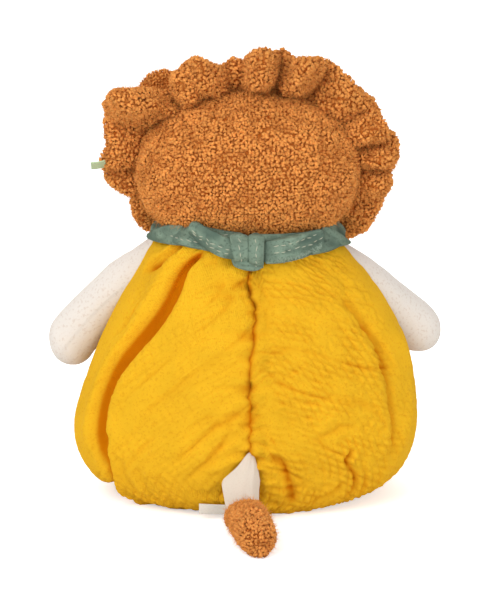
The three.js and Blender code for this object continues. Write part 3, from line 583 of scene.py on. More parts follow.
def curls_on(roots, normals, rng, share=1.0):
    """Looped curls of yarn that stand on their roots, a little clumped."""
    s = sizes()
    total = len(roots)
    clump = np.clip(noise(roots, CLUMP_SIZE, 3), -0.7, 0.9)[:, None]
    along = unit(np.cross(normals, rng.normal(size=(total, 3))))
    side = np.cross(normals, along)
    stand = unit(normals + side * rng.normal(0, 0.6, (total, 1)) + along * rng.normal(0, 0.3, (total, 1)))
    side = unit(np.cross(stand, along))
    radius = s.curl_radius * share * rng.uniform(0.75, 1.25, (total, 1))
    thickness = s.curl_thickness * share * rng.uniform(0.75, 1.25, (total, 1))
    sweep = np.linspace(-0.95, 0.95, 5)
    taper = np.array([0.5, 0.95, 1.1, 0.95, 0.5])
    centre = roots - stand * radius * 0.2 + normals * clump * CLUMP_LIFT
    outs = np.stack([stand * math.cos(turn) + along * math.sin(turn) for turn in sweep], axis=1)
    middles = centre[:, None] + outs * radius[:, None] + side[:, None] * (radius * 0.45 * sweep)[..., None]
    points, faces = strands(middles, outs, side, thickness[:, None] * taper[None, :, None])
    # Painted shade: darker towards each curl's roots and in the clumps that stand lower; the raised clumps
    # get a lighter painted tone, besides a random one.
    height = np.repeat((1 - np.cos(sweep)) / 0.8, 3)
    deep = np.clip(height * 0.55 - clump * 0.4 + rng.normal(0, 0.07, (total, 1)), 0, 1)
    tone_and_painted_light = np.repeat(rng.normal(0, 0.26, total) + clump[:, 0] * 0.35, 15)
    return points, faces, {"deep": deep, "tone_and_painted_light": tone_and_painted_light}


def fuzz_on(roots, normals, rng, share=1.0):
    """Loose fine fibres that stand out of the curls."""
    s = sizes()
    total = len(roots)
    lean = unit(normals + rng.normal(0, 0.55, (total, 3)))
    curl = unit(np.cross(lean, rng.normal(size=(total, 3))))
    reach = s.fuzz_length * share * rng.uniform(0.5, 1.3, (total, 1, 1))
    at = np.linspace(0, 1, 4)[None, :, None]
    base = roots + normals * s.curl_radius * 0.9
    middles = base[:, None] + reach * (lean[:, None] * at + curl[:, None] * 0.55 * at**2)
    side = unit(np.cross(lean, curl))
    outs = np.repeat(curl[:, None], 4, axis=1)
    thickness = s.fuzz_thickness * (1.25 - at) * rng.uniform(0.7, 1.4, (total, 1, 1))
    points, faces = strands(middles, outs, side, thickness)
    # The loose fibres vary in tone at random about a lighter mean, as a painted sheen.
    tone_and_painted_light = np.repeat(rng.normal(0.2, 0.4, total), 12)
    return points, faces, {"deep": np.zeros((total, 12)), "tone_and_painted_light": tone_and_painted_light}


def add_boucle(name, grids, body, stands_for, seed, keep=None, pitch_share=1.0, share=1.0):
    """Surfaces of boucle: each grid is the backing cloth, with curls and loose fibres on it."""
    base = []
    for points, wrap in grids:
        faces = grid_faces(*points.shape[:2], wrap)
        # The backing is painted mostly in the shade colour and darker in tone, patchy at random: painted
        # shade between the curls.
        patchy_shade = noise(points.reshape(-1, 3), 0.0024, 4)
        base.append((points, faces, {"deep": 0.7 + 0.3 * patchy_shade, "tone_and_painted_light": patchy_shade * 0.5 - 0.7}))
    backing = joined(base)
    rng = np.random.default_rng(seed)
    pitch = sizes().curl_pitch * pitch_share
    curls = curls_on(*scatter(backing[0], backing[1], pitch, rng, keep), rng, share)
    points, faces, values = joined([backing, curls])
    lift_to_floor(points)
    add_piece(name, points, faces, "Boucle", body, stands_for, values)
    loose = scatter(backing[0], backing[1], pitch * 0.84, rng, keep)
    points, faces, values = joined([fuzz_on(*loose, rng, share)])
    lift_to_floor(points)
    add_piece(name + "_fuzz", points, faces, "Boucle", body, (), values)


# Body and romper

BODY_HEIGHT_SHARES = [0, 0.04, 0.11, 0.22, 0.34, 0.51, 0.69, 0.84, 0.93, 1]
BODY_WIDTH_SHARES = [0.60, 0.80, 0.945, 1.01, 1.0, 0.91, 0.765, 0.60, 0.51, 0.48]
BODY_DEPTH_SHARES = [0.68, 0.87, 0.96, 1, 0.985, 0.91, 0.79, 0.65, 0.58, 0.555]
ROMPER_TOP_SHARE = 0.95
BODY_LEAN = 0.0052  # how far the stuffed body leans to the lion's right at most

# The lines of two long folds: points of (degrees round the body from +X towards +Y, height in mm).
BIG_FOLD = [
    (66, 175), (58, 172.5), (53, 169), (48.5, 162), (46.5, 154.5), (45.5, 146), (44, 135), (40.5, 121.5),
    (35.7, 107), (31.4, 92), (30.5, 77), (32.2, 61), (34.5, 46), (36.5, 32), (37.5, 20),
]
BIG_FOLD_DEPTH = 8.5
RIGHT_SOFT_FOLD = [
    (134, 146), (138, 140), (142, 133), (146, 123), (148.5, 111), (148.5, 95), (148, 73), (149, 51),
    (149.5, 33), (150, 16),
]
# Each fold of the romper: its line, then in mm its depth, its width on the lower-angle side and
# its width on the other side.
BACK_FOLDS = [
    (BIG_FOLD, BIG_FOLD_DEPTH, 5.6, 4.8),
    ([(52, 172), (41, 157), (37, 137), (31, 115), (24, 95), (23, 72), (24, 50), (25, 34)], -3.0, 6.0, 5.0),
    ([(39, 54), (38, 43), (38, 35), (37.5, 27), (35, 18), (31, 10), (28, -14)], 5.0, 3.6, 1.8),
    ([(34, 12), (27, 9), (19, 6), (9, 4), (-4, 2), (-14, 2)], 10.5, 8.0, 8.0),
    ([(43, 178), (39.5, 174), (35.5, 168), (30, 162.5), (24, 159), (14, 154)], 5.8, 3.0, 3.4),
    ([(47, 176), (40, 168), (32, 162)], -1.8, 3.0, 3.0),
    ([(90, 91), (86, 87), (80, 79), (73, 65), (66, 50)], 1.7, 3.2, 3.0),
    ([(91, 80), (85, 74), (78, 63), (71, 49), (64, 33)], 2.0, 3.4, 3.0),
    ([(91, 69), (87, 61), (81, 51), (77, 41)], 1.8, 2.6, 2.6),
    ([(91, 57), (87, 50), (83, 45), (76, 38), (70, 28)], 1.7, 2.6, 2.6),
    ([(90, 104), (84, 102), (76, 97), (68, 88)], 1.2, 3.0, 2.6),
    ([(92, 152), (87, 149), (79, 146), (72, 147)], 1.6, 2.4, 2.4),
    ([(94, 144), (86, 142), (76, 138), (68, 131)], 1.5, 2.4, 2.4),
    ([(93, 122), (86, 120), (78, 117)], 1.2, 2.4, 2.4),
    ([(66, 170), (70, 160), (76, 152)], 1.3, 3.0, 3.0),
    ([(97, 47), (100.5, 44), (103, 40), (105.5, 30), (108, 18), (111, 6)], 4.2, 6.0, 2.3),
    ([(93, 31), (97, 29.5), (101, 31)], 1.6, 1.6, 1.6),
    ([(94, 14), (98, 12), (103, 13)], 1.8, 1.8, 1.8),
    ([(112, 6), (115, 8.5), (120.5, 14), (124.5, 18.5), (128, 24)], 2.6, 1.4, 3.0),
    ([(129, 48), (127, 40), (127, 36.5), (132, 26), (134, 17), (135, 6)], 4.2, 2.2, 1.5),
    ([(136, 46), (133, 36), (137, 24), (140, 10)], 1.5, 2.4, 2.0),
    (RIGHT_SOFT_FOLD, 3.6, 4.6, 6.5),
    ([(168, 120), (168, 96), (164, 72), (158, 50), (150, 30), (146, 14)], -2.0, 6.0, 5.0),
    ([(128, 168), (138, 158), (147, 146)], 1.6, 3.0, 4.0),
    ([(97, 81), (107, 79), (115, 80), (123, 85)], 1.0, 2.0, 2.0),
    ([(98, 70), (106, 68), (113, 70)], 0.8, 1.8, 1.8),
    ([(98, 96), (105, 99), (112, 106)], 0.9, 2.0, 2.0),
    ([(45, 40), (44, 25), (46, 12)], 1.8, 3.0, 3.0),
    ([(52, 34), (52, 20), (53, 8)], 1.6, 2.6, 2.6),
    ([(60, 30), (60, 18), (60, 8)], 1.4, 2.4, 2.4),
]
FRONT_FOLDS = [
    ([(200, 150), (204, 110), (203, 70), (205, 30), (206, 10)], 5.0, 7.0, 6.0),
    ([(226, 172), (212, 140), (206, 120)], 3.0, 5.0, 5.0),
    ([(255, 172), (250, 130), (244, 80), (240, 50)], 3.2, 5.0, 6.0),
    ([(270, 110), (270, 70), (271, 30), (270, 8)], 3.0, 5.0, 5.0),
    ([(285, 172), (290, 130), (296, 80), (300, 50)], 3.2, 6.0, 5.0),
    ([(314, 172), (328, 140), (334, 120)], 3.0, 5.0, 5.0),
    ([(340, 150), (336, 110), (337, 70), (335, 30), (334, 10)], 5.0, 6.0, 7.0),
    ([(238, 40), (236, 36), (230, 34)], 2.0, 3.0, 3.0),
    ([(302, 40), (304, 36), (310, 34)], 2.0, 3.0, 3.0),
]
SEAM_HEIGHTS = [0, 50, 57, 70, 80, 92, 108, 121, 133, 140, 146, 155, 165, 180]
SEAM_ANGLES = [91, 91, 90, 90, 89.3, 88.3, 89.2, 90.3, 91.3, 90.4, 89, 89.3, 89.8, 90]
SLIT_HEIGHTS = [0, 14, 22, 30, 36, 42, 50]
SLIT_LEFT_ANGLES = [87, 87, 87, 87, 88, 89.5, 91]
SLIT_RIGHT_ANGLES = [94.5, 94.5, 94.3, 94, 93.5, 92.4, 91]
SIDE_ANGLE = 12
RIDGE_SHARE = 0.28  # how high the cloth stands beside a fold, as a share of the fold's depth
RIDGE_AWAY = 2.1  # how far this ridge lies from the fold's line, in widths of its steeper side
RIDGE_WIDTH = 1.3
QUIET_BAND = (60, 76)  # degrees from the middle of the back between which the cloth grows quiet
CLOTH_LIFT = 0.0019  # how far the gauze stands outside the body's form
CRINKLED_LIFT = 0.0009  # how much further it stands out where it is crinkled
WRINKLE_DEPTH = 0.0017
GATHER_DEPTH = 0.0016
SWELL_DEPTH = 0.0022
SEWN_EDGE = (0.0060, 0.0017)  # how deep a seam draws in a panel's edge, and over what width
TUCKED_EDGE = (0.0062, 0.0058)  # the same where the edge is tucked under
PUCKER_LENGTH = 0.0050
PUCKER_DEPTH = 0.0026


def body_outline(shares):
    """Height, half width and half depth of the body, at shares of its outline's length."""
    s = sizes()
    fine = np.linspace(0, 1, 600)
    rise = s.neck_height + s.collar_rise
    height = smooth_curve(BODY_HEIGHT_SHARES, fine) * rise
    width = smooth_curve(BODY_WIDTH_SHARES, fine) * s.body_half_width
    depth = smooth_curve(BODY_DEPTH_SHARES, fine) * s.body_half_depth
    run = np.concatenate([[0], np.hypot(np.diff(height), np.diff(width)).cumsum()])
    at = np.asarray(shares) * run[-1]
    return np.interp(at, run, height), np.interp(at, run, width), np.interp(at, run, depth)


def body_half(height):
    """Half width and half depth of the body at a height."""
    heights, widths, depths = body_outline(np.linspace(0, 1, 300))
    return np.interp(height, heights, widths), np.interp(height, heights, depths)


def lean_at(height):
    """How far the stuffed body leans to the lion's right at a height."""
    s = sizes()
    share = np.asarray(height) / s.neck_height
    return -BODY_LEAN * smoothstep(share, 0.15, 0.62) * (1 - 0.5 * smoothstep(share, 0.85, 1.02))


def body_place(turn, height, out=0.0):
    """Points on the body's outside, at angles in degrees and heights, moved out by a distance."""
    turn, height = np.broadcast_arrays(np.radians(turn), height)
    width, depth = body_half(height)
    x = (width + out) * np.cos(turn) + lean_at(height)
    return np.stack([x, (depth + out) * np.sin(turn), height + 0 * turn], axis=-1)


def body_points(width, depth, height, radians):
    """Points of the body's outline at each height, turned round it."""
    x = width[:, None] * np.cos(radians) + lean_at(height)[:, None]
    return np.stack([x, depth[:, None] * np.sin(radians), height[:, None] + 0 * radians], axis=-1)


def press_of_fold(points, turns, fold):
    """How far one fold presses the cloth in, at points of the body's outside."""
    line, depth, low_width, high_width = fold
    line = smooth_curve(np.array(line, float), np.linspace(0, 1, 4 * len(line)))
    corners = body_place(line[:, 0], line[:, 1] * MM)
    best = np.full(points.shape[:-1], np.inf)
    side = np.zeros(best.shape)
    reach = np.zeros(best.shape)
    for i in range(len(corners) - 1):
        a, b = corners[i], corners[i + 1]
        t = np.clip(((points - a) @ (b - a)) / max((b - a) @ (b - a), 1e-12), 0, 1)
        away = np.linalg.norm(points - a - t[..., None] * (b - a), axis=-1)
        nearer = away < best
        best = np.where(nearer, away, best)
        here = line[i, 0] + t * (line[i + 1, 0] - line[i, 0])
        side = np.where(nearer, np.sign(turns - here), side)
        reach = np.where(nearer, (i + t) / (len(corners) - 1), reach)
    width = np.where(side < 0, low_width, high_width) * MM
    big = depth == BIG_FOLD_DEPTH
    upper = 1 - smoothstep(reach, 0.42, 0.60) if big else float(low_width < high_width)
    if big:
        lip = np.where(side < 0, 1.4 - 0.95 * upper, 1 + 0.45 * upper)
        width = width * lip * (0.5 + 0.5 * smoothstep(reach, 0.12, 0.36))
    steep = min(low_width, high_width) * MM

    def ridge_at(place):
        return np.exp(-(((best * side - place * steep) / (RIDGE_WIDTH * steep)) ** 2))

    ridge = RIDGE_SHARE * (upper * ridge_at(-RIDGE_AWAY) + (1 - upper) * ridge_at(RIDGE_AWAY))
    ends = smoothstep(reach, 0, 0.16) * (1 - smoothstep(reach, 0.84, 1))
    steepness = 3.4 if big else 2
    return depth * MM * (np.exp(-((best / width) ** steepness)) - ridge) * ends


def crinkle_of(across, along, lean, dip):
    """The double gauze's puffed cells: the creases between them, as painted shade, and how far these press
    in.
    """
    s = sizes()
    place = flat(across, along)
    x = across * np.cos(lean) + along * np.sin(lean)
    y = along * np.cos(dip) + across * np.sin(dip)
    x = x + s.gauze_cell * layered(place, (0.6, 0.034, 11), (0.2, 0.012, 17))
    y = y + s.gauze_cell * layered(place, (0.6, 0.030, 12), (0.2, 0.011, 18))
    puff = np.sqrt(np.abs(np.sin(np.pi * x / s.gauze_cell) * np.sin(np.pi * y / (s.gauze_cell * 0.9))))
    creases = (1 - puff) * np.clip(0.75 + 0.8 * noise(place, 0.013, 13), 0.3, 1)
    rumple = 0.5 + 0.5 * noise(place, 0.0046, 15)
    grain = noise(place, 0.0021, 16)
    return creases**2.2, s.gauze_crinkle * (1.1 * creases + 0.5 * rumple + 0.3 * grain)


def wrinkles_of(across, along, slope, spacing):
    """Long shallow wrinkles that run along a slope, from 0 to 1."""
    c, n = math.cos(slope), math.sin(slope)
    run, rise = across * c + along * n, along * c - across * n
    line = 1 - np.abs(noise(flat(run * 0.28, rise), spacing, 19)) * 3.6
    return np.clip(line, 0, 1) ** 1.8 * np.clip(0.4 + 1.2 * noise(flat(run, rise), 0.03, 20), 0, 1)


def romper_panel(name, low_angles, high_angles, folds, columns, rows, stands_for, tucked):
    """One panel between two seams, given by their angles at each height."""
    height, width, depth = body_outline(np.linspace(0, ROMPER_TOP_SHARE, rows))
    share = np.linspace(0, 1, columns)[None]
    low, high = low_angles(height)[:, None], high_angles(height)[:, None]
    turns = low + (high - low) * share
    points = body_points(width, depth, height, np.radians(turns))
    normals = grid_normals(points)
    lengths = grid_lengths(points)
    middle = np.argmin(np.abs(share - 0.5))
    across = lengths[..., 0] - lengths[:, middle : middle + 1, 0]
    along = lengths[..., 1]
    press = np.zeros(turns.shape)
    for fold in folds:
        press = press + press_of_fold(points, turns, fold)
    # Painted shade: the cloth is darker the deeper its folds press in.
    deep = 0.95 * smoothstep(press, 0.0016, 0.0062)
    on_right = smoothstep(turns, 86, 98)
    heights = height[:, None]
    quiet = smoothstep(np.abs(turns - 90), *QUIET_BAND) * (0.75 + 0.25 * smoothstep(heights, 0.075, 0.095))
    strength = (0.5 + 0.5 * on_right) * (1 - quiet)
    creases, pressed = crinkle_of(across, along, 0.6 - 0.2 * on_right, 0.96 * on_right - 0.68)
    press = press + strength * pressed - CLOTH_LIFT - CRINKLED_LIFT * strength
    long_ones = wrinkles_of(across, along, -0.26, 0.011) * on_right
    long_ones = long_ones + wrinkles_of(across, along, 0.78, 0.012) * (1 - on_right)
    long_ones = long_ones * (1 - quiet)
    press = press + WRINKLE_DEPTH * long_ones
    # More painted shade in the crinkle creases and the long wrinkles.
    deep = deep + 0.34 * strength * creases + 0.22 * long_ones
    at_neck = smoothstep(heights, 0.128, 0.168)
    at_hem = 1 - smoothstep(heights, 0.008, 0.032)
    gathers = (at_neck * GATHER_DEPTH + at_hem * GATHER_DEPTH) * (1 - quiet)
    press = press + gathers * (0.5 + 0.5 * noise(flat(across, along * 0.15), 0.0042, 21))
    press = press + SWELL_DEPTH * noise(flat(across, along), 0.045, 22)
    press = press + seam_press(points, lengths, tucked, quiet)
    edge = np.minimum(lengths[..., 0], lengths[:, -1:, 0] - lengths[..., 0])
    # Painted shade in the grooves of the seams, and where the cloth presses in.
    seam_groove_shade = 0.8 * np.exp(-((edge / 0.0024) ** 2))
    deep = np.clip(deep + seam_groove_shade + 0.3 * smoothstep(press, 0.0005, 0.004), 0, 1)
    tone_and_painted_light = noise(points, 0.012, 23) * 0.4
    # The seams' grooves are also painted much darker in tone, unevenly along them: painted shade.
    uneven_seam_shade = np.clip(0.55 + 0.8 * noise(flat(lengths[..., 1], edge * 0.2), 0.008, 24), 0, 1)
    tone_and_painted_light = tone_and_painted_light - 4.6 * np.exp(-((edge / 0.0021) ** 2)) * uneven_seam_shade * smoothstep(heights, 0.045, 0.060)
    # Painted shade, a little darker towards the floor.
    deep = np.clip(deep + 0.05 * (1 - smoothstep(heights, 0.0, 0.045)), 0, 1)
    points = points - normals * press[..., None]
    lift_to_floor(points)
    faces = grid_faces(rows, columns)
    values = {"deep": deep, "tone_and_painted_light": tone_and_painted_light}
    add_piece(name, points, faces, "Gauze", "torso", stands_for, values, lengths)


def seam_press(points, lengths, tucked, quiet):
    """The drawn-in edges of a panel, puckered by the stitches, and calmer where it is quiet."""
    press = np.zeros(points.shape[:-1])
    from_low = lengths[..., 0]
    from_high = lengths[:, -1:, 0] - lengths[..., 0]
    for edge, under, seed in ((from_low, False, 31), (from_high, tucked, 32)):
        depth, width = TUCKED_EDGE if under else SEWN_EDGE
        pucker = noise(flat(edge * 0.22, lengths[..., 1]), PUCKER_LENGTH, seed) * (1 - 0.75 * quiet)
        wider = width * (1.3 + 1.5 * np.clip(pucker, -0.4, 1))
        press = press + depth * np.exp(-edge / wider) + PUCKER_DEPTH * pucker * np.exp(-edge / 0.007)
    return press


def seat_panel():
    """The flat oval seat under the romper, gathered a little at its rim."""
    s = sizes()
    rows, columns = 24, 120
    share = np.linspace(0, 1, rows)[:, None]
    turn = full_turn(columns)[None]
    reach = BODY_WIDTH_SHARES[0] * (1.0 - share * 0.985)
    ripple = 0.0012 * (1 - share) * (0.5 + 0.5 * np.sin(turn * 40))
    x = reach * s.body_half_width * np.cos(turn)
    y = reach * s.body_half_depth * np.sin(turn)
    points = np.stack([x, y, ripple * share], axis=-1)
    # The whole seat is mixed a fifth of the way towards the gauze's painted shade colour.
    values = {"deep": np.full((rows, columns), 0.2), "tone_and_painted_light": np.zeros((rows, columns))}
    faces = grid_faces(rows, columns, wrap=True)[:, ::-1]
    uv = np.broadcast_to(points[..., :2], points.shape[:2] + (2,))
    add_piece("romper_seat_cloth", points, faces, "Gauze", "torso", ["romper_seat"], values, uv)


def inner_body():
    """The stuffed body inside the romper, which shows only through its openings."""
    height, width, depth = body_outline(np.linspace(0.1, 0.92, 40))
    inset = 0.0135
    points = body_points(width - inset, depth - inset, height, full_turn(72)[None])
    inside = ["torso_skin", "torso_filling", "pellet_bag"]
    piece = add_cloth("stuffed_body", points, "Jersey", "torso", inside, wrap=True)


class LION_OT_romper(bpy.types.Operator):
    """Add the romper's three panels, its seat and the stuffed body inside"""

    bl_idname = "lion.romper"
    bl_label = "Romper"

    def execute(self, context):
        def seam(height):
            nicks = np.maximum(np.sin(height / 0.0019 + 2.2 * np.sin(height / 0.0120)), 0) ** 3
            scallops = 0.22 * np.sin(height / 0.0043) - 0.55 * nicks
            scallops = scallops * smoothstep(height, 0.050, 0.062)
            return np.interp(height, np.array(SEAM_HEIGHTS) * MM, SEAM_ANGLES) + scallops

        def slit(edge_angles):
            heights = np.array(SLIT_HEIGHTS) * MM
            return lambda h: np.where(h < heights[-1], np.interp(h, heights, edge_angles), seam(h))

        def tuck(edge_angles):
            return lambda h: edge_angles(h) + 1.3

        def side(degrees):
            return lambda h: np.full(h.shape, float(degrees))

        under_left, right = tuck(slit(SLIT_LEFT_ANGLES)), slit(SLIT_RIGHT_ANGLES)
        low_side, high_side, last_side = side(-SIDE_ANGLE), side(180 + SIDE_ANGLE), side(360 - SIDE_ANGLE)
        for name, node, low, high, folds, columns, rows, tucked in (
            ("romper_left_back_cloth", "romper_back_left", low_side, under_left, BACK_FOLDS, 320, 285, True),
            ("romper_right_back_cloth", "romper_back_right", right, high_side, BACK_FOLDS, 320, 285, False),
            ("romper_front_cloth", "romper_front", high_side, last_side, FRONT_FOLDS, 330, 240, False),
        ):
            romper_panel(name, low, high, folds, columns, rows, [node], tucked)
        seat_panel()
        inner_body()
        return {"FINISHED"}


# Head


HEAD_FULLNESS = 2.2
CURL_RISE = 0.0022  # how far the curls stand above their backing
HEAD_SHIFT = np.array([-0.0022, 0, 0])  # the head sits a little to the lion's right
CLOSING_SEAM = np.array([[-0.0086, 0, 0.2512], [-0.0160, 0, 0.2556]])
SEAM_PARTING = 0.0014  # half the width in which the closing seam parts the curls
BARE_BELOW = 0.043  # no curls this far under the head's middle, where the scarf lies


def head_centre():
    s = sizes()
    return np.array([0, 0, s.neck_height + s.head_radius])


def head_radius_at(x):
    s = sizes()
    share = np.clip(np.abs(x) / s.head_half_width, 0, 1)
    return s.head_radius * (1 - share**HEAD_FULLNESS) ** (1 / HEAD_FULLNESS)


def head_grid(low, high, rows, columns, grow=0.0):
    """Part of the head's surface, between two angles round its side-to-side axis."""
    s = sizes()
    x = -s.head_half_width * np.cos(np.linspace(0.02, math.pi - 0.02, rows))
    turn = np.radians(np.linspace(low, high, columns))
    radius = head_radius_at(x) + grow
    y, z = radius[:, None] * np.cos(turn)[None], radius[:, None] * np.sin(turn)[None]
    points = np.stack([np.repeat(x[:, None], columns, axis=1), y, z], axis=-1) + head_centre()
    bumps = layered(points, (0.0009, 0.028, 41), (0.0004, 0.011, 42))
    return points + grid_normals(points) * bumps[..., None]


def face_seam_turn():
    """The angle of the face seam round the head's side-to-side axis, from the back."""
    s = sizes()
    return math.degrees(math.acos(s.face_seam / s.head_radius))


class LION_OT_head(bpy.types.Operator):
    """Add the boucle back of the head, with its closing seam"""

    bl_idname = "lion.head"
    bl_label = "Head"

    def execute(self, context):
        seam = face_seam_turn()
        back = head_grid(-seam, seam, 70, 90, -CURL_RISE) + HEAD_SHIFT
        start, along = CLOSING_SEAM[0], CLOSING_SEAM[1] - CLOSING_SEAM[0]

        def clear_of_seam(roots):
            """The closing seam parts the curls along a short slanted line."""
            flat_roots = roots * np.array([1, 0, 1])
            t = np.clip(((flat_roots - start) @ along) / (along @ along), 0, 1)
            away = np.linalg.norm(flat_roots - start - t[:, None] * along, axis=1)
            above = roots[:, 2] > head_centre()[2] - BARE_BELOW
            return ((away > SEAM_PARTING) | (roots[:, 1] < 0)) & above

        stands_for = ["head_back", "head_filling"]
        add_boucle("head_boucle", [(back, False)], "head", stands_for, 5, keep=clear_of_seam)
        return {"FINISHED"}


# Mane

SEAM_FORWARD = 0.020  # how far forward the mane's seam runs under the head
MANE_SINK = 0.004  # how deep the mane's root lies inside the head

# Stations of the mane by angle round the head, from +X over the top: reach beyond the head
# and thickness in mm, how far it leans back at its root and at its tip in degrees, and how
# far its middle bulges back in mm.
MANE_STATIONS = [
    (-52, 13, 9, 0, 0, 0),
    (-44, 16, 10, 4, 0, 0),
    (-34, 16, 11, 5, 5, 0),
    (-24, 12, 12, 8, 8, 0),
    (-16, 7, 13, 4, 10, 1),
    (-10, 13, 14, 20, 25, 2),
    (-6, 19, 14, 16, 20, 1),
    (-1, 21.5, 11, -10, 0, 0),
    (4, 25, 15, 14, 30, 3),
    (10, 19.5, 16, 26, 50, 4),
    (16, 23.5, 13, 4, 15, 1),
    (20, 26.5, 12, -8, 5, 0),
    (25, 37, 15, 12, 60, 3),
    (31, 38, 19, 24, 100, 6),
    (38, 31, 20, 26, 105, 7),
    (42, 17, 20, 28, 110, 6),
    (47, 10, 20, 28, 110, 6),
    (54, 24.5, 20, 26, 110, 6),
    (60, 26, 17, 18, 90, 5),
    (66, 29, 20, 24, 110, 7),
    (73, 20.5, 19, 22, 110, 6),
    (78, 15.5, 13, 4, 60, 1),
    (81, 17, 10, -6, 20, 0),
    (84, 22, 11, 6, 50, 2),
    (90, 18, 10, -4, 20, 0),
    (95, 30, 20, 18, 115, 6),
    (101, 36, 22, 18, 122, 7),
    (105.5, 31, 18, 14, 85, 4),
    (109.5, 31, 11, -10, 0, 0),
    (112.5, 29.5, 12, -4, 20, 0),
    (116.5, 31, 19, 20, 105, 7),
    (121, 34.5, 20, 22, 110, 7),
    (127, 34, 16, 10, 70, 3),
    (131, 34, 12, -6, 15, 0),
    (137, 32, 15, 10, 40, 2),
    (144, 29.5, 17, 20, 50, 4),
    (150, 26.5, 15, 10, 30, 2),
    (155, 27.5, 13, 0, 15, 0),
    (161, 28.5, 18, 26, 60, 5),
    (166, 32, 15, 16, 40, 3),
    (169, 31.5, 10, -12, 0, 0),
    (174, 31, 17, 22, 50, 4),
    (178, 27, 12, 2, 10, 0),
    (181, 25, 10, -14, 0, 0),
    (186, 26.5, 16, 20, 40, 4),
    (191, 24, 12, 4, 10, 0),
    (197, 26, 11, -8, 0, 0),
    (204, 24.5, 13, 10, 15, 2),
    (212, 25, 11, 0, 5, 0),
    (221, 23, 12, 6, 5, 0),
    (230, 20, 11, 2, 0, 0),
]


def oval_slope(part, radius, half):
    """One part of the direction that stands off the head's oval outline."""
    return math.copysign(abs(part * radius / half) ** (HEAD_FULLNESS - 1) / half, part)


def mane_grid(rows, columns):
    """The folded strip round the head: each row is one section across it."""
    s = sizes()
    table = np.array(MANE_STATIONS, float)
    turns = np.linspace(table[0, 0], table[-1, 0], rows)
    kernel = np.hanning(7) / np.hanning(7).sum()

    def eased(column):
        values = np.interp(turns, table[:, 0], table[:, column])
        return np.convolve(np.pad(values, 3, mode="edge"), kernel, mode="valid")

    reach, thick, lean, tip_lean, bulge = (eased(column) for column in range(1, 6))
    radians = np.radians(turns)
    share = np.linspace(0, 1, 24)
    grid = []
    for i in range(rows):
        c, n = math.cos(radians[i]), math.sin(radians[i])
        power = HEAD_FULLNESS
        radius = (abs(c / s.head_half_width) ** power + abs(n / s.head_radius) ** power) ** (-1 / power)
        low = max(-n, 0)
        seam_y = s.face_seam - SEAM_FORWARD * smoothstep(low, 0, 0.75)
        root = head_centre() + np.array([radius * c, seam_y, radius * n])
        slopes = oval_slope(c, radius, s.head_half_width), 0, oval_slope(n, radius, s.head_radius)
        outward = unit(unit(np.array(slopes)) + np.array([c, 0, n]))
        bend = np.radians(lean[i] + (tip_lean[i] - lean[i]) * share**1.6)
        step = np.cos(bend)[:, None] * outward + np.sin(bend)[:, None] * BACK
        run = np.concatenate([np.zeros((1, 3)), (step[1:] + step[:-1]).cumsum(axis=0) / 2 / (len(share) - 1)])
        rounded = np.sqrt(np.clip(1 - (2 * share - 1) ** 6, 0, 1))
        half = thick[i] * MM / 2 * rounded * (0.55 + 0.45 * share**0.5)
        rise = (run @ outward)[:, None] + 0 * run
        wall = (half * np.abs(np.sin(bend)))[:, None]
        wanted = reach[i] * MM - CURL_RISE + MANE_SINK
        stretch = wanted
        for _ in range(4):
            stretch *= wanted / (rise[:, :1] * stretch + wall).max()
        line = root - outward * MANE_SINK + run * stretch
        line = line + BACK * (bulge[i] * MM * np.sin(np.pi * share)[:, None])
        across = np.cos(bend)[:, None] * BACK - np.sin(bend)[:, None] * outward
        upper = line + across * half[:, None]
        under = line - across * half[:, None]
        loop = np.concatenate([under, upper[::-1]])
        grid.append(smooth_curve(loop, np.linspace(0, 1, columns)))
    grid = np.array(grid)
    ends = smoothstep(from_ends(rows), -0.5, 9)[:, None, None]
    middle = grid.mean(axis=1, keepdims=True)
    grid = middle + (grid - middle) * (0.12 + 0.88 * ends)
    lumps = layered(grid, (0.0024, 0.019, 53), (0.0014, 0.010, 51), (0.0006, 0.006, 52))
    return grid + mane_normals(grid) * lumps[..., None]


def mane_normals(grid):
    around = np.roll(grid, -1, axis=1) - np.roll(grid, 1, axis=1)
    along = np.gradient(grid, axis=0)
    return unit(np.cross(around, along))


class LION_OT_mane(bpy.types.Operator):
    """Add the gathered boucle mane round the head"""

    bl_idname = "lion.mane"
    bl_label = "Mane"

    def execute(self, context):
        grid = mane_grid(300, 44)
        add_boucle(
            "mane_boucle", [(grid, True)], "head", ["mane_ruffle"], 6, pitch_share=1.08, share=1.05
        )
        return {"FINISHED"}


# Stuffed limbs


def joint_place(name):
    """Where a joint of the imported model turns."""
    return np.array(next(j for j in frame["joints"] if j["name"] == name)["pos_m"])


CAP_STARTS = 0.62  # the share of a limb's rows after which its round tip begins


def limb_grid(
    pivot, direction, reach, root, tip, rows=70, columns=48, bow=0.0, swell=None, start=None, point=1.0
):
    """A stuffed limb from its pivot: a narrow root that swells towards a round tip."""
    along = unit(direction)
    side = unit(np.cross(UP, along))
    up = np.cross(along, side)
    share = np.linspace(0, 1, rows)
    straight = reach - tip * point
    first = -root * 0.8 if start is None else start
    distance = np.interp(share, [0, CAP_STARTS, 1], [first, straight, straight])
    cap = np.clip((share - CAP_STARTS) / (1 - CAP_STARTS), 0, 1) * (math.pi / 2 - 0.002)
    distance = distance + np.sin(cap) * tip * point
    far = distance / straight
    grown = smoothstep(far, 0, 1) if swell is None else swell(np.minimum(far, 1))
    radius = (root + (tip - root) * grown) * np.cos(cap)
    lift = np.sin(np.clip(distance / reach, 0, 1) * np.pi) * bow
    middle = pivot + along * distance[:, None] + up * lift[:, None]
    points = middle[:, None] + ring_of(side, up, columns)[None] * radius[:, None, None]
    soft = layered(points, (0.0009, 0.022, 61), (0.00025, 0.006, 62))
    return points + unit(points - middle[:, None]) * soft[..., None]


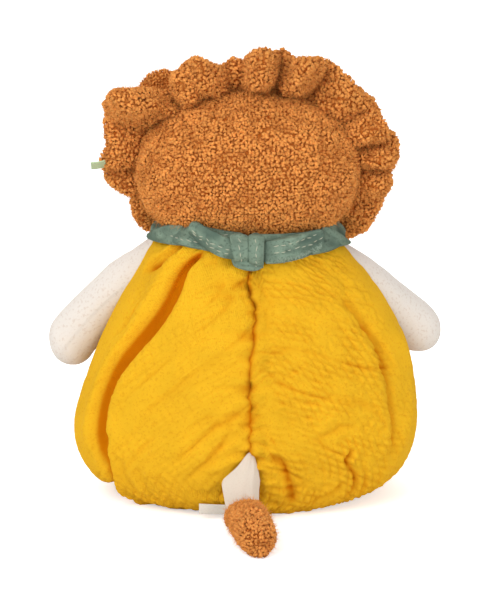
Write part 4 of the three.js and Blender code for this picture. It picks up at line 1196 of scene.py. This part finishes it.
def pushed_out(points, far, clear, root):
    """Moves a limb's points off the romper, where they are far enough along the limb."""
    width, depth = body_half(points[..., 2])
    width, depth = width + clear, depth + clear
    lean = lean_at(points[..., 2])
    inside = np.hypot((points[..., 0] - lean) / width, points[..., 1] / depth)
    beyond = smoothstep(far, root, root * 2)
    scale = np.where(inside < 1, 1 / np.maximum(inside, 0.2), 1)
    scale = 1 + (scale - 1) * beyond
    moved = points * np.stack([scale, scale, np.ones(scale.shape)], axis=-1)
    moved[..., 0] += lean * (1 - scale)
    return moved


def limb_seam(grid, column, name, body):
    """The raised seam along a limb, as a fine rib of its own cloth."""
    line = grid[6:-1, column]
    out = unit(line - grid[6:-1].mean(axis=1))
    tube(name, line + out * SEAM_LIFT, SEAM_RADIUS, "Jersey", body)


def tube(name, line, radius, look, body):
    """A thin round thread or rib along a line of points."""
    line = np.asarray(line, float)
    along = unit(np.gradient(line, axis=0))
    guide = np.where(np.abs(along[:, 2:3]) > 0.9, BACK[None], UP[None])
    side = unit(np.cross(guide, along))
    up = np.cross(along, side)
    taper = np.sqrt(np.clip(from_ends(len(line)) / 2.0, 0.05, 1))
    points = line[:, None] + ring_of(side, up, 6) * (radius * taper)[:, None, None]
    add_cloth(name, points, look, body, wrap=True)


def add_limb(name, grid, body, stands_for):
    piece = add_cloth(name, grid, "Jersey", body, stands_for, wrap=True)


ARM_DIRECTIONS = {"left": (0.664, -0.155, -0.735), "right": (-0.688, -0.283, -0.652)}
ARM_BOWS = {"left": 0.0040, "right": 0.0010}
ARM_POINTS = {"left": 1.05, "right": 1.3}
ARM_START = -0.0226  # how far behind its pivot an arm's closed root begins
ARM_CLEARANCE = 0.0006
ARM_FREE_FROM = 0.006  # how far along an arm it begins to be kept off the romper
LEG_SPREAD = math.radians(17)
SEAM_LIFT = 0.00015  # how far a limb's seam rib stands off its cloth
SEAM_RADIUS = 0.00045


class LION_OT_arms(bpy.types.Operator):
    """Add the two stuffed arms"""

    bl_idname = "lion.arms"
    bl_label = "Arms"

    def execute(self, context):
        s = sizes()
        for side, direction in ARM_DIRECTIONS.items():
            pivot = joint_place(side + "_arm_lift")

            def swell(share):
                closed = np.sqrt(1 - np.clip((-0.24 - share) / 0.08, 0, 0.999) ** 2)
                full = smoothstep(share, -0.45, 0.28) * 0.9 + 0.1 * share
                nothing = s.arm_root / (s.arm_root - s.arm_hand)
                return nothing + (full - nothing) * closed

            grid = limb_grid(
                pivot, direction, s.arm_length, s.arm_root, s.arm_hand,
                bow=ARM_BOWS[side], swell=swell, start=ARM_START, point=ARM_POINTS[side],
            )
            far = (grid - pivot) @ unit(direction)
            grid = pushed_out(grid, far, ARM_CLEARANCE, ARM_FREE_FROM)
            body = side + "_arm"
            add_limb(body + "_jersey", grid, body, ["arm_" + side, "arm_" + side + "_filling"])
            limb_seam(grid, 36, body + "_seam", body)
        return {"FINISHED"}


class LION_OT_legs(bpy.types.Operator):
    """Add the two stuffed legs and the romper's gathered cuffs round them"""

    bl_idname = "lion.legs"
    bl_label = "Legs"

    def execute(self, context):
        s = sizes()
        for side, sign in (("left", 1), ("right", -1)):
            pivot = joint_place(side + "_leg_lift")
            direction = np.array([sign * math.sin(LEG_SPREAD), -math.cos(LEG_SPREAD), 0])
            grid = limb_grid(pivot, direction, s.leg_length, s.leg_root, s.leg_foot)
            far = (grid - pivot) @ unit(direction)
            grown = smoothstep(far / (s.leg_length - s.leg_foot), 0, 1)
            grid[..., 2] += grown * (s.leg_foot - s.leg_root)
            lift_to_floor(grid)
            body = side + "_leg"
            add_limb(body + "_jersey", grid, body, ["leg_" + side, "leg_" + side + "_filling"])
            limb_seam(grid, 12, body + "_seam", body)
            leg_cuff(side, pivot, direction)
        return {"FINISHED"}


def leg_cuff(side, pivot, direction):
    """The gathered edge of the romper round a leg."""
    s = sizes()
    along = unit(direction)
    across = unit(np.cross(UP, along))
    up = np.cross(along, across)
    turn = full_turn(160)
    rows = np.linspace(0, 1, 14)
    puff = np.sin(rows * np.pi)[:, None]
    gather = 0.0008 * np.sin(turn * 26)[None] + 0.0004 * noise(flat(turn, turn * 0), 0.5, 71)[None]
    gap, swelling, start, length = 0.0012, 0.0030, 0.002, 0.013
    out = s.leg_root + gap + swelling * puff**0.6 + gather * puff
    far = start + length * rows[:, None] + 0 * turn[None]
    points = pivot + far[..., None] * along + ring_of(across, up, len(turn))[None] * out[..., None]
    lift_to_floor(points)
    # Painted shade towards the cuff's two edges, where it is gathered in.
    values = {"deep": 0.35 * (1 - puff) + 0 * out, "tone_and_painted_light": 0 * out}
    add_cloth("romper_cuff_" + side, points, "Gauze", "torso", (), values, wrap=True)


# Scarf


def ribbon(name, line, ups, half_widths, thickness, columns, wave, seed, stands_for=()):
    """A folded strip of gauze along a line: ups point to its upper edge. Returns its grid."""
    line, ups = np.asarray(line, float), unit(ups)
    rows = len(line)
    along = unit(np.gradient(line, axis=0))
    out = unit(np.cross(along, ups))
    c, n = np.cos(full_turn(columns)), np.sin(full_turn(columns))
    height = np.sign(n) * np.abs(n) ** 0.75
    depth = np.sign(c) * np.abs(c) ** 0.36
    ends = np.sqrt(np.clip(from_ends(rows) / 4.0, 0.08, 1))
    half = (np.broadcast_to(half_widths, rows) * ends)[:, None]
    thick = (np.broadcast_to(thickness, rows) / 2 * ends)[:, None]
    run = run_of(line)[:, None]
    folds = noise(flat(run * 0.35, height[None] * half), 0.0034, seed) * wave
    folds = folds + noise(flat(run, height[None] * half), 0.0055, seed + 1) * wave * 0.5
    face = np.clip(np.abs(depth), 0.25, 1)[None]
    push = folds * face * ends[:, None]
    points = line[:, None] + ups[:, None] * (height[None] * half)[..., None]
    points = points + out[:, None] * (depth[None] * thick + np.sign(depth)[None] * push)[..., None]
    # Painted shade: darker where the folds press in, over a constant share of the shade colour.
    deep = np.clip(0.35 - folds / wave * 0.75, 0, 1)
    tone_and_painted_light = noise(flat(run, height[None] * half), 0.004, seed + 2) * 0.5
    values = {"deep": deep, "tone_and_painted_light": tone_and_painted_light}
    add_cloth(name, points, "Scarf gauze", "torso", stands_for, values, wrap=True, flip=True)
    return points, out


def stitches(name, line, out):
    """Running stitches along a line on a cloth's surface."""
    s = sizes()
    line = np.asarray(line, float)
    run = run_of(line)
    parts = []
    start = s.stitch_pitch * 0.4
    radius, lift = 0.00026, 0.0001
    rng = np.random.default_rng(len(name) + len(line))
    while start + s.stitch_length < run[-1]:
        at = start + s.stitch_length * rng.uniform(0.7, 1.15) * np.linspace(0, 1, 6)
        middle = np.stack([np.interp(at, run, line[:, k]) for k in range(3)], axis=1)
        normal = unit(np.stack([np.interp(at, run, out[:, k]) for k in range(3)], axis=1))
        along = unit(np.gradient(middle, axis=0))
        side = np.cross(normal, along)
        arch = np.sin(np.linspace(0, np.pi, 6))[:, None]
        middle = middle + normal * (lift + radius * 0.9 * arch)
        shift, slant = rng.normal(0, 0.0003), rng.normal(0, 0.0003)
        middle = middle + side * (shift + slant * np.linspace(-1, 1, 6)[:, None])
        points = middle[:, None] + ring_of(side, normal, 6) * (radius * (0.35 + 0.65 * arch))[:, None]
        parts.append((points, grid_faces(6, 6, wrap=True), {}))
        start += s.stitch_pitch
    add_threads(name, parts, "Stitch thread")


def round_neck(turns, heights, out):
    """Points round the neck, outside the body's form."""
    return body_place(np.asarray(turns, float), np.asarray(heights, float) * MM, out)


class LION_OT_scarf(bpy.types.Operator):
    """Add the scarf: its band, its knot, its two ends, the front triangle and the stitches"""

    bl_idname = "lion.scarf"
    bl_label = "Scarf"

    def execute(self, context):
        self.band()
        self.left_end()
        self.right_end()
        self.knot()
        self.side_tips()
        self.bib()
        return {"FINISHED"}

    def band(self):
        turns = np.linspace(90, 450, 260)
        wrapped = (turns + 180) % 360 - 180
        place_turns = [-180, -90, 0, 35, 60, 90, 120, 150, 180]
        place_heights = [178.5, 179, 182, 184.5, 183.5, 180, 179, 178, 178.5]
        height = np.interp(wrapped, place_turns, place_heights)
        line = round_neck(turns, height, out=0.0030)
        aside = np.abs(np.cos(np.radians(turns)))[:, None]
        ups = UP - level_out(line) * (0.05 + 0.6 * aside)
        grid, out = ribbon(
            "scarf_band_cloth", line, ups, half_widths=0.0078, thickness=0.0070,
            columns=44, wave=0.0013, seed=81, stands_for=["scarf_band"],
        )
        for name, column, low, high in (
            ("scarf_band_stitches_a", 4, 232, 258),
            ("scarf_band_stitches_b", 41, 214, 250),
        ):
            stitches(name, grid[low:high, column], out[low:high])

    def strip(self, name, places, half_widths, thickness, out, seed, stands_for=()):
        """A loose strip over the band, through points of (degrees, height in mm)."""
        share = np.linspace(0, 1, 60)
        places = smooth_curve(places, share)
        out = smooth_curve(np.broadcast_to(out, 4), share)
        line = round_neck(places[:, 0], places[:, 1], out)
        half = smooth_curve(half_widths, share) * MM
        ups = np.cross(level_out(line), unit(np.gradient(line, axis=0)))
        ups = ups * np.sign(ups[:, 2:3] + 1e-9)
        return ribbon(
            name, line, ups, half, thickness, columns=40, wave=0.0015, seed=seed, stands_for=stands_for
        )

    def loose_end(self, side, places, half, thickness, out, seed, shares, first):
        """An end with two rows of stitches. Returns its grid and its outward directions."""
        name = "scarf_" + side + "_end_"
        grid, out = self.strip(name + "cloth", places, half, thickness, out, seed, ["scarf_end_" + side])
        face = out if out[30, 1] > 0 else -out
        for k, column in enumerate(self.outer_columns(grid, face, shares)):
            stitches(name + "stitches_" + "ab"[k], grid[first:56, column], face[first:56])
        return grid, face

    def left_end(self):
        places = [(84, 178), (76, 180.5), (66, 185), (57, 190), (53, 192)]
        half = [6.0, 7.0, 6.6, 5.6, 3.6]
        self.loose_end("left", places, half, 0.0045, 0.0095, 84, (-0.45, 0.1), 6)

    def right_end(self):
        places = [(98, 176.8), (108, 177.3), (120, 178.8), (132, 181), (141, 184)]
        half = [7.2, 8.0, 8.2, 7.6, 4.5]
        grid, face = self.loose_end("right", places, half, 0.0050, 0.0085, 87, (-0.12, 0.5), 8)
        self.fray(grid[10:52, self.outer_columns(grid, face, (-0.66,))[0]], face[10:52])

    def side_tips(self):
        """The band's folded corners, which stand out over the shoulders."""
        away = np.array([0.0035, 0.006, 0.0085, 0.0095])
        half = [7.2, 6.2, 3.4, 0.5]
        left = [(46, 184), (31, 182), (16, 178.5), (2, 174.8)]
        right = [(144, 181), (155, 178.5), (166, 174.5), (177, 171)]
        self.strip("scarf_left_corner_cloth", left, half, 0.0026, away, 103)
        self.strip("scarf_right_corner_cloth", right, half, 0.0026, away * 0.75, 106)

    def outer_columns(self, grid, face, shares):
        """The columns on a strip's outer face that lie at shares of its half width."""
        row = len(grid) // 2
        middle = grid[row].mean(axis=0)
        outer = (grid[row] - middle) @ face[row]
        rise = (grid[row] - middle)[:, 2]
        half = np.abs(rise).max()
        return [int(np.argmin(np.abs(rise / half - share) + 10 * (outer < 0.0002))) for share in shares]

    def fray(self, line, out):
        """Frayed threads along the raw lower edge of the right end."""
        fibre_radius = 0.00015
        rng = np.random.default_rng(90)
        parts = []
        for i in np.repeat(np.arange(2, len(line) - 2), 4):
            along = unit(line[i + 1] - line[i - 1])
            up = np.cross(along, out[i])
            lean = along * rng.normal(0.0004, 0.0009)
            place = line[i] + along * rng.uniform(-0.0008, 0.0008) + up * rng.normal(-0.0002, 0.0009)
            start = place - up * rng.uniform(0.0004, 0.0014) - lean
            end = place + up * rng.uniform(0.0004, 0.0014) + lean
            at = np.linspace(0, 1, 5)[:, None]
            middle = start + (end - start) * at + out[i] * (0.0004 + 0.0005 * np.sin(at * np.pi))
            points = middle[:, None] + ring_of(along, out[i], 5)[None] * fibre_radius
            parts.append((points, grid_faces(5, 5, wrap=True), {}))
        add_threads("scarf_frayed_edge", parts, "Whip thread")

    def knot(self):
        """Two upright folds of the scarf, drawn over the band."""
        front = float(body_half(np.array(0.178))[1])
        top, off_band, swelling = 0.1880, 0.0020, 0.0125
        for name, x, lean, width, drop, seed, nodes in (
            ("scarf_knot_left_fold", 0.0056, -0.0024, 0.0062, 0.0175, 92, ["scarf_knot"]),
            ("scarf_knot_right_fold", -0.0056, -0.0004, 0.0058, 0.0215, 94, ()),
        ):
            share = np.linspace(0, 1, 50)
            z = top - drop * share
            bulge = np.sin(np.pi * share) ** 0.55
            y = front + off_band + swelling * bulge
            line = np.stack([x + lean * share - 0.002, y, z], axis=1)
            ups = np.broadcast_to(np.array([1.0, 0, 0]), line.shape)
            half = width * (1.0 - 0.22 * share)
            grid, out = ribbon(
                name, line, ups, half, thickness=0.0052, columns=36, wave=0.0009, seed=seed, stands_for=nodes
            )
            face = out * np.sign(out[25, 1])
            row = grid[25]
            column = int(np.argmin(np.abs(row[:, 0] - line[25, 0]) + 10 * (row[:, 1] < line[25, 1])))
            stitches(name + "_stitches", grid[6:46, column], face[6:46])
        wrap = [
            (6, -3, 175), (4, 3.5, 171.8), (-1.5, 5.0, 170),
            (-7, 5.0, 169.8), (-10, 2.0, 171.5), (-11.5, -3, 175),
        ]
        line = smooth_curve(np.array(wrap) * MM, np.linspace(0, 1, 50))
        line[:, 1] += float(body_half(np.array(0.170))[1]) + 0.0035
        ribbon(
            "scarf_knot_wrap", line, np.broadcast_to(UP, line.shape),
            half_widths=0.0042, thickness=0.0060, columns=36, wave=0.0010, seed=98,
        )

    def bib(self):
        """The front triangle, which hangs over the romper from the band."""
        rows, columns = 70, 90
        t = np.linspace(0, 1, rows)[:, None]
        across = np.linspace(-1, 1, columns)[None]
        half_spread, top, drop = 40, 0.176, 0.066
        turns = 270 + half_spread * across * (1 - t * 0.985)
        height = top - drop * t - 0.004 * (1 - across**2) * (1 - t)
        points = body_place(turns, height + 0 * turns, out=0.0050)
        folds = 0.0016 * np.sin(across * 9 * (1 - 0.4 * t)) * (1 - t) + 0.0010 * noise(points, 0.010, 96)
        points = points + level_out(points) * np.abs(folds)[..., None]
        # Painted shade: darker where the folds press in, over a constant share of the shade colour.
        deep = np.clip(0.3 - folds / 0.0016 * 0.4, 0, 1)
        values = {"deep": deep, "tone_and_painted_light": noise(points, 0.004, 97) * 0.5}
        piece = add_cloth("scarf_bib_cloth", points, "Scarf gauze", "torso", ["scarf_bib"], values, flip=True)
        thicken(piece, thickness=0.0012, offset=0)
        for side, column in (("left", columns - 5), ("right", 4)):
            line, out = points[2:60, column], level_out(points[2:60, column])
            stitches("scarf_bib_stitches_" + side, line + out * 0.0006, out)


# Tail


class LION_OT_tail(bpy.types.Operator):
    """Add the tail's cotton strip and its boucle tuft"""

    bl_idname = "lion.tail"
    bl_label = "Tail"

    def execute(self, context):
        self.strip()
        self.tuft()
        return {"FINISHED"}

    def strip(self):
        tip = joint_place("tuft_sway")
        rows, columns = 70, 64
        share = np.linspace(0, 1, rows)
        path = [
            (-4.6, 74.5, 48.5), (-2.0, 80.5, 39.5), (2.0, 85.5, 31.0), (1.6, 91.0, 20.5), (1.3, 95.5, 12.5),
        ]
        line = smooth_curve(np.array(path) * MM, share)
        into_tuft = [0.0013, -0.0026, 0.0040]
        line = line + (tip + into_tuft - line[-1]) * share[:, None] ** 2
        along = unit(np.gradient(line, axis=0))
        side = np.broadcast_to(np.array([1.0, 0, 0]), line.shape)
        up = unit(np.cross(side, along)) * -1
        up = up * np.sign(up[:, 1:2])
        turn = full_turn(columns)
        half_places, half_widths = [0, 0.04, 0.45, 0.52, 0.75, 1], [0.3, 1.8, 12.0, 12.4, 11.2, 9.6]
        half = np.interp(share, half_places, half_widths)[:, None] * MM
        thick = smooth_curve([0.0006, 0.0020, 0.0026, 0.0030, 0.0030], share)[:, None]
        c = np.cos(turn)[None]
        n = np.sign(np.sin(turn)) * np.abs(np.sin(turn)) ** 0.6
        x = half * c
        folded = np.clip((-c - 0.62) / 0.38, 0, 1)
        fold_depth = 0.0042
        lift = thick * n[None] - fold_depth * folded * np.clip(half / 0.012, 0, 1)
        lift = lift + 0.0008 * np.exp(-(((c + 0.1) / 0.2) ** 2)) * (n[None] > 0)
        points = line[:, None] + side[:, None] * x[..., None] + up[:, None] * lift[..., None]
        points = points + up[:, None] * (0.0005 * noise(points, 0.008, 101))[..., None]
        piece = add_cloth(
            "tail_strip_cloth", points, "Tail cotton", "tail", ["tail_strip"], wrap=True, flip=True
        )

    def tuft(self):
        s = sizes()
        pivot = joint_place("tuft_sway")
        sway = math.radians(12)
        direction = np.array([-math.sin(sway), math.cos(sway), 0])

        def swell(share):
            return np.sin(np.pi * (0.18 + 0.60 * share))

        grid = limb_grid(
            pivot, direction, s.tuft_length, root=0.0085, tip=s.tuft_radius * 0.82,
            rows=46, columns=40, swell=swell,
        )
        centre = grid.mean(axis=1, keepdims=True)
        half = np.linalg.norm(grid - centre, axis=-1, keepdims=True).max(axis=1, keepdims=True)
        grid[..., 2] += (half[..., 0] * 0.95 - (centre[..., 2] - 0.0012))
        grid = grid + unit(grid - centre) * (0.0010 * noise(grid, 0.009, 102))[..., None]
        lift_to_floor(grid, floor=0.0018)
        add_boucle("tail_tuft_boucle", [(grid, True)], "tuft", ["tail_tuft"], 8, pitch_share=0.95)


# Ears, face and small trims

MOUTH_THREAD = 0.0005  # half the thickness of the mouth's threads
MOUTH_REACH = 0.0095  # how far each side of the mouth runs from the middle


def dome_grid(centre, half, axis, rows=24, columns=40, low=-0.15):
    """A rounded cap whose top points along an axis, from a little below its middle."""
    axis = unit(axis)
    side = unit(np.cross(UP, axis)) if abs(axis[2]) < 0.9 else np.array([1.0, 0, 0])
    up = np.cross(axis, side)
    rise = np.linspace(low, math.pi / 2 - 0.02, rows)[:, None]
    turn = full_turn(columns)[None]
    reach = np.cos(rise)
    points = (
        side * (half[0] * reach * np.cos(turn))[..., None]
        + up * (half[1] * reach * np.sin(turn))[..., None]
        + axis * (half[2] * np.sin(rise) + 0 * turn)[..., None]
    )
    return points + np.asarray(centre)


class LION_OT_ears(bpy.types.Operator):
    """Add the two round ears and their linings"""

    bl_idname = "lion.ears"
    bl_label = "Ears"

    def execute(self, context):
        for side, seed in (("left", 9), ("right", 10)):
            _, _, centre, halves = box_parts(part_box("ear_" + side))
            half = halves[0]
            back = dome_grid(centre, (half, half, 0.006), BACK, low=-0.5)
            front = dome_grid(centre, (half, half, 0.004), -BACK, low=-0.3)
            name, grids = "ear_boucle_" + side, [(back, True), (front, True)]
            stands_for = ["ear_" + side]
            add_boucle(name, grids, "head", stands_for, seed, pitch_share=0.85, share=0.75)
            lining = dome_grid(centre + [0, -0.0022, 0], (half * 0.66, half * 0.66, 0.0046), -BACK, low=0)
            add_cloth("ear_lining_cloth_" + side, lining, "Jersey", "head", ["ear_lining_" + side], wrap=True)
        return {"FINISHED"}


class LION_OT_face(bpy.types.Operator):
    """Add the plain jersey face with its embroidered nose, mouth and eyes"""

    bl_idname = "lion.face"
    bl_label = "Face"

    def execute(self, context):
        seam = face_seam_turn()
        front = head_grid(seam, 360 - seam, 80, 100)
        face = add_cloth("face_jersey", front, "Jersey", "head", ["face_panel"])
        low, high, middle, half = box_parts(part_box("muzzle"))
        centre = np.array([0, high[1] - 0.002, middle[2]])
        muzzle = dome_grid(centre, (half[0], half[2], high[1] - low[1]), -BACK, rows=40, columns=64, low=0)
        cushion = add_cloth("muzzle_jersey", muzzle, "Jersey", "head", ["muzzle"], wrap=True)
        self.nose()
        self.mouth(middle, low)
        for side in ("left", "right"):
            self.eye(side)
        return {"FINISHED"}

    def nose(self):
        low, high, middle, half = box_parts(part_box("nose"))
        centre = [middle[0], high[1] - 0.001, middle[2]]
        grid = dome_grid(centre, (half[0], half[2], high[1] - low[1]), -BACK, low=0)
        x = (grid[..., 0] - middle[0]) / half[0]
        z = (grid[..., 2] - middle[2]) / half[2]
        grid[..., 0] = middle[0] + half[0] * x * (0.72 + 0.28 * np.clip(z, -1, 1))
        grid[..., 1] += 0.00018 * np.sin(grid[..., 0] / 0.00022)
        add_cloth("nose_stitches", grid, "Face thread", "head", ["nose"], wrap=True)

    def mouth(self, middle, low):
        front = low[1]
        drop = np.linspace(0, 1, 16)
        stem_y, stem_z = front + 0.0002 + 0.0014 * drop**2, middle[2] + 0.002 - 0.009 * drop
        stem = np.stack([0 * drop, stem_y, stem_z], axis=1)
        tube("mouth_stem", stem, MOUTH_THREAD, "Face thread", "head")
        for name, sign in (("mouth_left", 1), ("mouth_right", -1)):
            turn = np.linspace(0, 1, 20)
            x = sign * MOUTH_REACH * turn
            z = middle[2] - 0.0070 - 0.0022 * np.sin(np.pi * turn * 0.9)
            y = front + 0.0016 + 0.0042 * turn**2 + 0.0008 * np.sin(np.pi * turn)
            tube(name, np.stack([x, y, z], axis=1), MOUTH_THREAD, "Face thread", "head")

    def eye(self, side):
        _, _, middle, half = box_parts(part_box("eye_" + side))
        out = unit(middle - head_centre())
        grid = dome_grid(middle - out * 0.0006, (half[0] * 1.1, half[2] * 1.05, 0.0016), out, low=0)
        ridges = 0.00012 * np.sin(grid[..., 2] / 0.00025)
        grid = grid + out * ridges[..., None]
        add_cloth("eye_stitches_" + side, grid, "Face thread", "head", ["eye_" + side], wrap=True)


class LION_OT_trims(bpy.types.Operator):
    """Add the blank care label and the bare ribbon tab"""

    bl_idname = "lion.trims"
    bl_label = "Label and ribbon tab"

    def execute(self, context):
        self.label()
        self.tab()
        return {"FINISHED"}

    def label(self):
        rows, columns = 14, 30
        t = np.linspace(0, 1, rows)[:, None]
        near, far, foot, height = 0.0108, 0.0295, 0.0038, 0.0075
        x = np.linspace(near, far, columns)[None]
        z = foot + height * t
        width, depth = body_half(np.array(0.0115))
        top = depth * np.sqrt(1 - (x / width) ** 2) + 0.0036
        y = top - 0.0030 * (1 - t) + 0.0006 * np.sin(x / 0.0035) * (1 - t)
        points = np.stack([x + 0 * y, y, z + 0 * y], axis=-1)
        piece = add_cloth("care_label_tape", points, "Label", "torso", ["care_label"], flip=True)
        thicken(piece, thickness=0.0004)

    def tab(self):
        low, high, _, _ = box_parts(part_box("ribbon_tab"))
        rows, columns = 12, 16
        t = np.linspace(0, 1, rows)[:, None]
        z = np.linspace(low[2], high[2], columns)[None] + 0.0030
        x = low[0] - 0.006 + (high[0] - low[0] - 0.002) * t
        y = (low[1] + high[1]) / 2 + 0.0012 * np.sin(t * 3) + 0.0006 * np.sin(z / 0.004)
        middle = z.mean()
        y = y + (z - middle) * 0.8
        z = middle + (z - middle) * 0.6 + 0 * t
        points = np.stack([x + 0.002 + 0 * y, y, z - 0.0015 * t], axis=-1)
        piece = add_cloth("ribbon_tab_cloth", points, "Ribbon", "head", ["ribbon_tab"])
        thicken(piece, thickness=0.0008)


# Stage

# Each area light: its name, its place, its size and its power.
LIGHTS = (
    ("key", (0.9, 1.3, 1.4), 1.2, 19),
    ("fill", (-0.9, 1.4, 0.3), 1.4, 9.5),
    ("rim", (0.2, -1.4, 1.3), 1.2, 7),
)
LIT_POINT = Vector((0, 0, 0.14))
CAMERA_TARGET = Vector((0.002, 0, 0.131))
FRAME_HEIGHT = 0.3978  # the height that the picture takes in at the lion
FLOOR_REACH = 6.0


def add_object(name, data):
    item = bpy.data.objects.new(name, data)
    bpy.context.scene.collection.objects.link(item)
    return item


def looking(direction):
    """The turn of a lamp or a camera that looks in a direction."""
    return direction.to_track_quat("-Z", "Y").to_euler()


class LION_OT_stage(bpy.types.Operator):
    """Add the floor, the lights and the camera"""

    bl_idname = "lion.stage"
    bl_label = "Stage"

    def execute(self, context):
        self.floor()
        self.world()
        self.lights()
        self.camera()
        context.scene.view_settings.view_transform = "Standard"
        return {"FINISHED"}

    def floor(self):
        c = colours()
        mesh = bpy.data.meshes.new("floor")
        corners = [(x * FLOOR_REACH, y * FLOOR_REACH, 0) for x, y in ((-1, -1), (1, -1), (1, 1), (-1, 1))]
        mesh.from_pydata(corners, [], [(0, 1, 2, 3)])
        floor = add_object("floor", mesh)
        material = bpy.data.materials.new("Floor")
        material.use_nodes = True
        tree = material.node_tree
        tree.nodes.clear()
        output = add_node(tree, "ShaderNodeOutputMaterial")
        cloth = add_node(tree, "ShaderNodeBsdfDiffuse")
        cloth.inputs["Color"].default_value = (*c.floor, 1)
        glow = add_node(tree, "ShaderNodeEmission")
        glow.inputs["Strength"].default_value = 0.52
        lit = add_node(tree, "ShaderNodeAddShader")
        tree.links.new(cloth.outputs[0], lit.inputs[0])
        tree.links.new(glow.outputs[0], lit.inputs[1])
        seen = self.seen_directly(tree)
        mix = add_node(tree, "ShaderNodeMixShader")
        tree.links.new(seen, mix.inputs[0])
        tree.links.new(cloth.outputs[0], mix.inputs[1])
        tree.links.new(lit.outputs[0], mix.inputs[2])
        tree.links.new(mix.outputs[0], output.inputs["Surface"])
        mesh.materials.append(material)

    def seen_directly(self, tree):
        """One for camera, glossy and transmission rays, and zero for all others."""
        rays = add_node(tree, "ShaderNodeLightPath")
        first = math_node(tree, "MAXIMUM", rays.outputs["Is Camera Ray"], rays.outputs["Is Glossy Ray"])
        return math_node(tree, "MAXIMUM", first, rays.outputs["Is Transmission Ray"])

    def world(self):
        world = bpy.data.worlds.new("Studio")
        bpy.context.scene.world = world
        world.use_nodes = True
        tree = world.node_tree
        background = tree.nodes["Background"]
        background.inputs["Color"].default_value = (1, 1, 1, 1)
        seen = self.seen_directly(tree)
        strength = add_node(tree, "ShaderNodeMapRange")
        strength.inputs["To Min"].default_value = 0.74
        strength.inputs["To Max"].default_value = 1.0
        tree.links.new(seen, strength.inputs["Value"])
        tree.links.new(strength.outputs[0], background.inputs["Strength"])

    def lights(self):
        for name, place, size, power in LIGHTS:
            data = bpy.data.lights.new(name, "AREA")
            data.size = size
            data.energy = power
            lamp = add_object(name, data)
            lamp.location = place
            lamp.rotation_euler = looking(LIT_POINT - Vector(place))

    def camera(self):
        s = sizes()
        data = bpy.data.cameras.new("camera")
        away = Vector((0, math.cos(s.camera_rise), math.sin(s.camera_rise))) * s.camera_distance
        data.sensor_fit = "VERTICAL"
        data.lens = data.sensor_height * s.camera_distance / FRAME_HEIGHT
        camera = add_object("camera", data)
        camera.location = CAMERA_TARGET + away
        camera.rotation_euler = looking(-away)
        bpy.context.scene.camera = camera


# Panel and run

OPERATORS = (
    LION_OT_head,
    LION_OT_mane,
    LION_OT_ears,
    LION_OT_face,
    LION_OT_romper,
    LION_OT_scarf,
    LION_OT_arms,
    LION_OT_legs,
    LION_OT_tail,
    LION_OT_trims,
    LION_OT_stage,
)


class LION_PT_panel(bpy.types.Panel):
    """The lion's pieces, in the order in which they are added"""

    bl_label = "Plush Lion"
    bl_idname = "LION_PT_panel"
    bl_space_type = "VIEW_3D"
    bl_region_type = "UI"
    bl_category = "Lion"

    def draw(self, context):
        for group in (context.scene.lion_sizes, context.scene.lion_colours):
            for name in group.__annotations__:
                self.layout.prop(group, name)
        for operator in OPERATORS:
            self.layout.operator(operator.bl_idname)


CLASSES = (LionSizes, LionColours, *OPERATORS, LION_PT_panel)


def register():
    for cls in CLASSES:
        bpy.utils.register_class(cls)
    bpy.types.Scene.lion_sizes = bpy.props.PointerProperty(type=LionSizes)
    bpy.types.Scene.lion_colours = bpy.props.PointerProperty(type=LionColours)


def unregister():
    del bpy.types.Scene.lion_colours
    del bpy.types.Scene.lion_sizes
    for cls in reversed(CLASSES):
        bpy.utils.unregister_class(cls)


def main():
    register()
    make_materials()
    bpy.ops.lion.head()
    bpy.ops.lion.mane()
    bpy.ops.lion.ears()
    bpy.ops.lion.face()
    bpy.ops.lion.romper()
    bpy.ops.lion.scarf()
    bpy.ops.lion.arms()
    bpy.ops.lion.legs()
    bpy.ops.lion.tail()
    bpy.ops.lion.trims()
    bpy.ops.lion.stage()


if __name__ == "__main__":
    main()
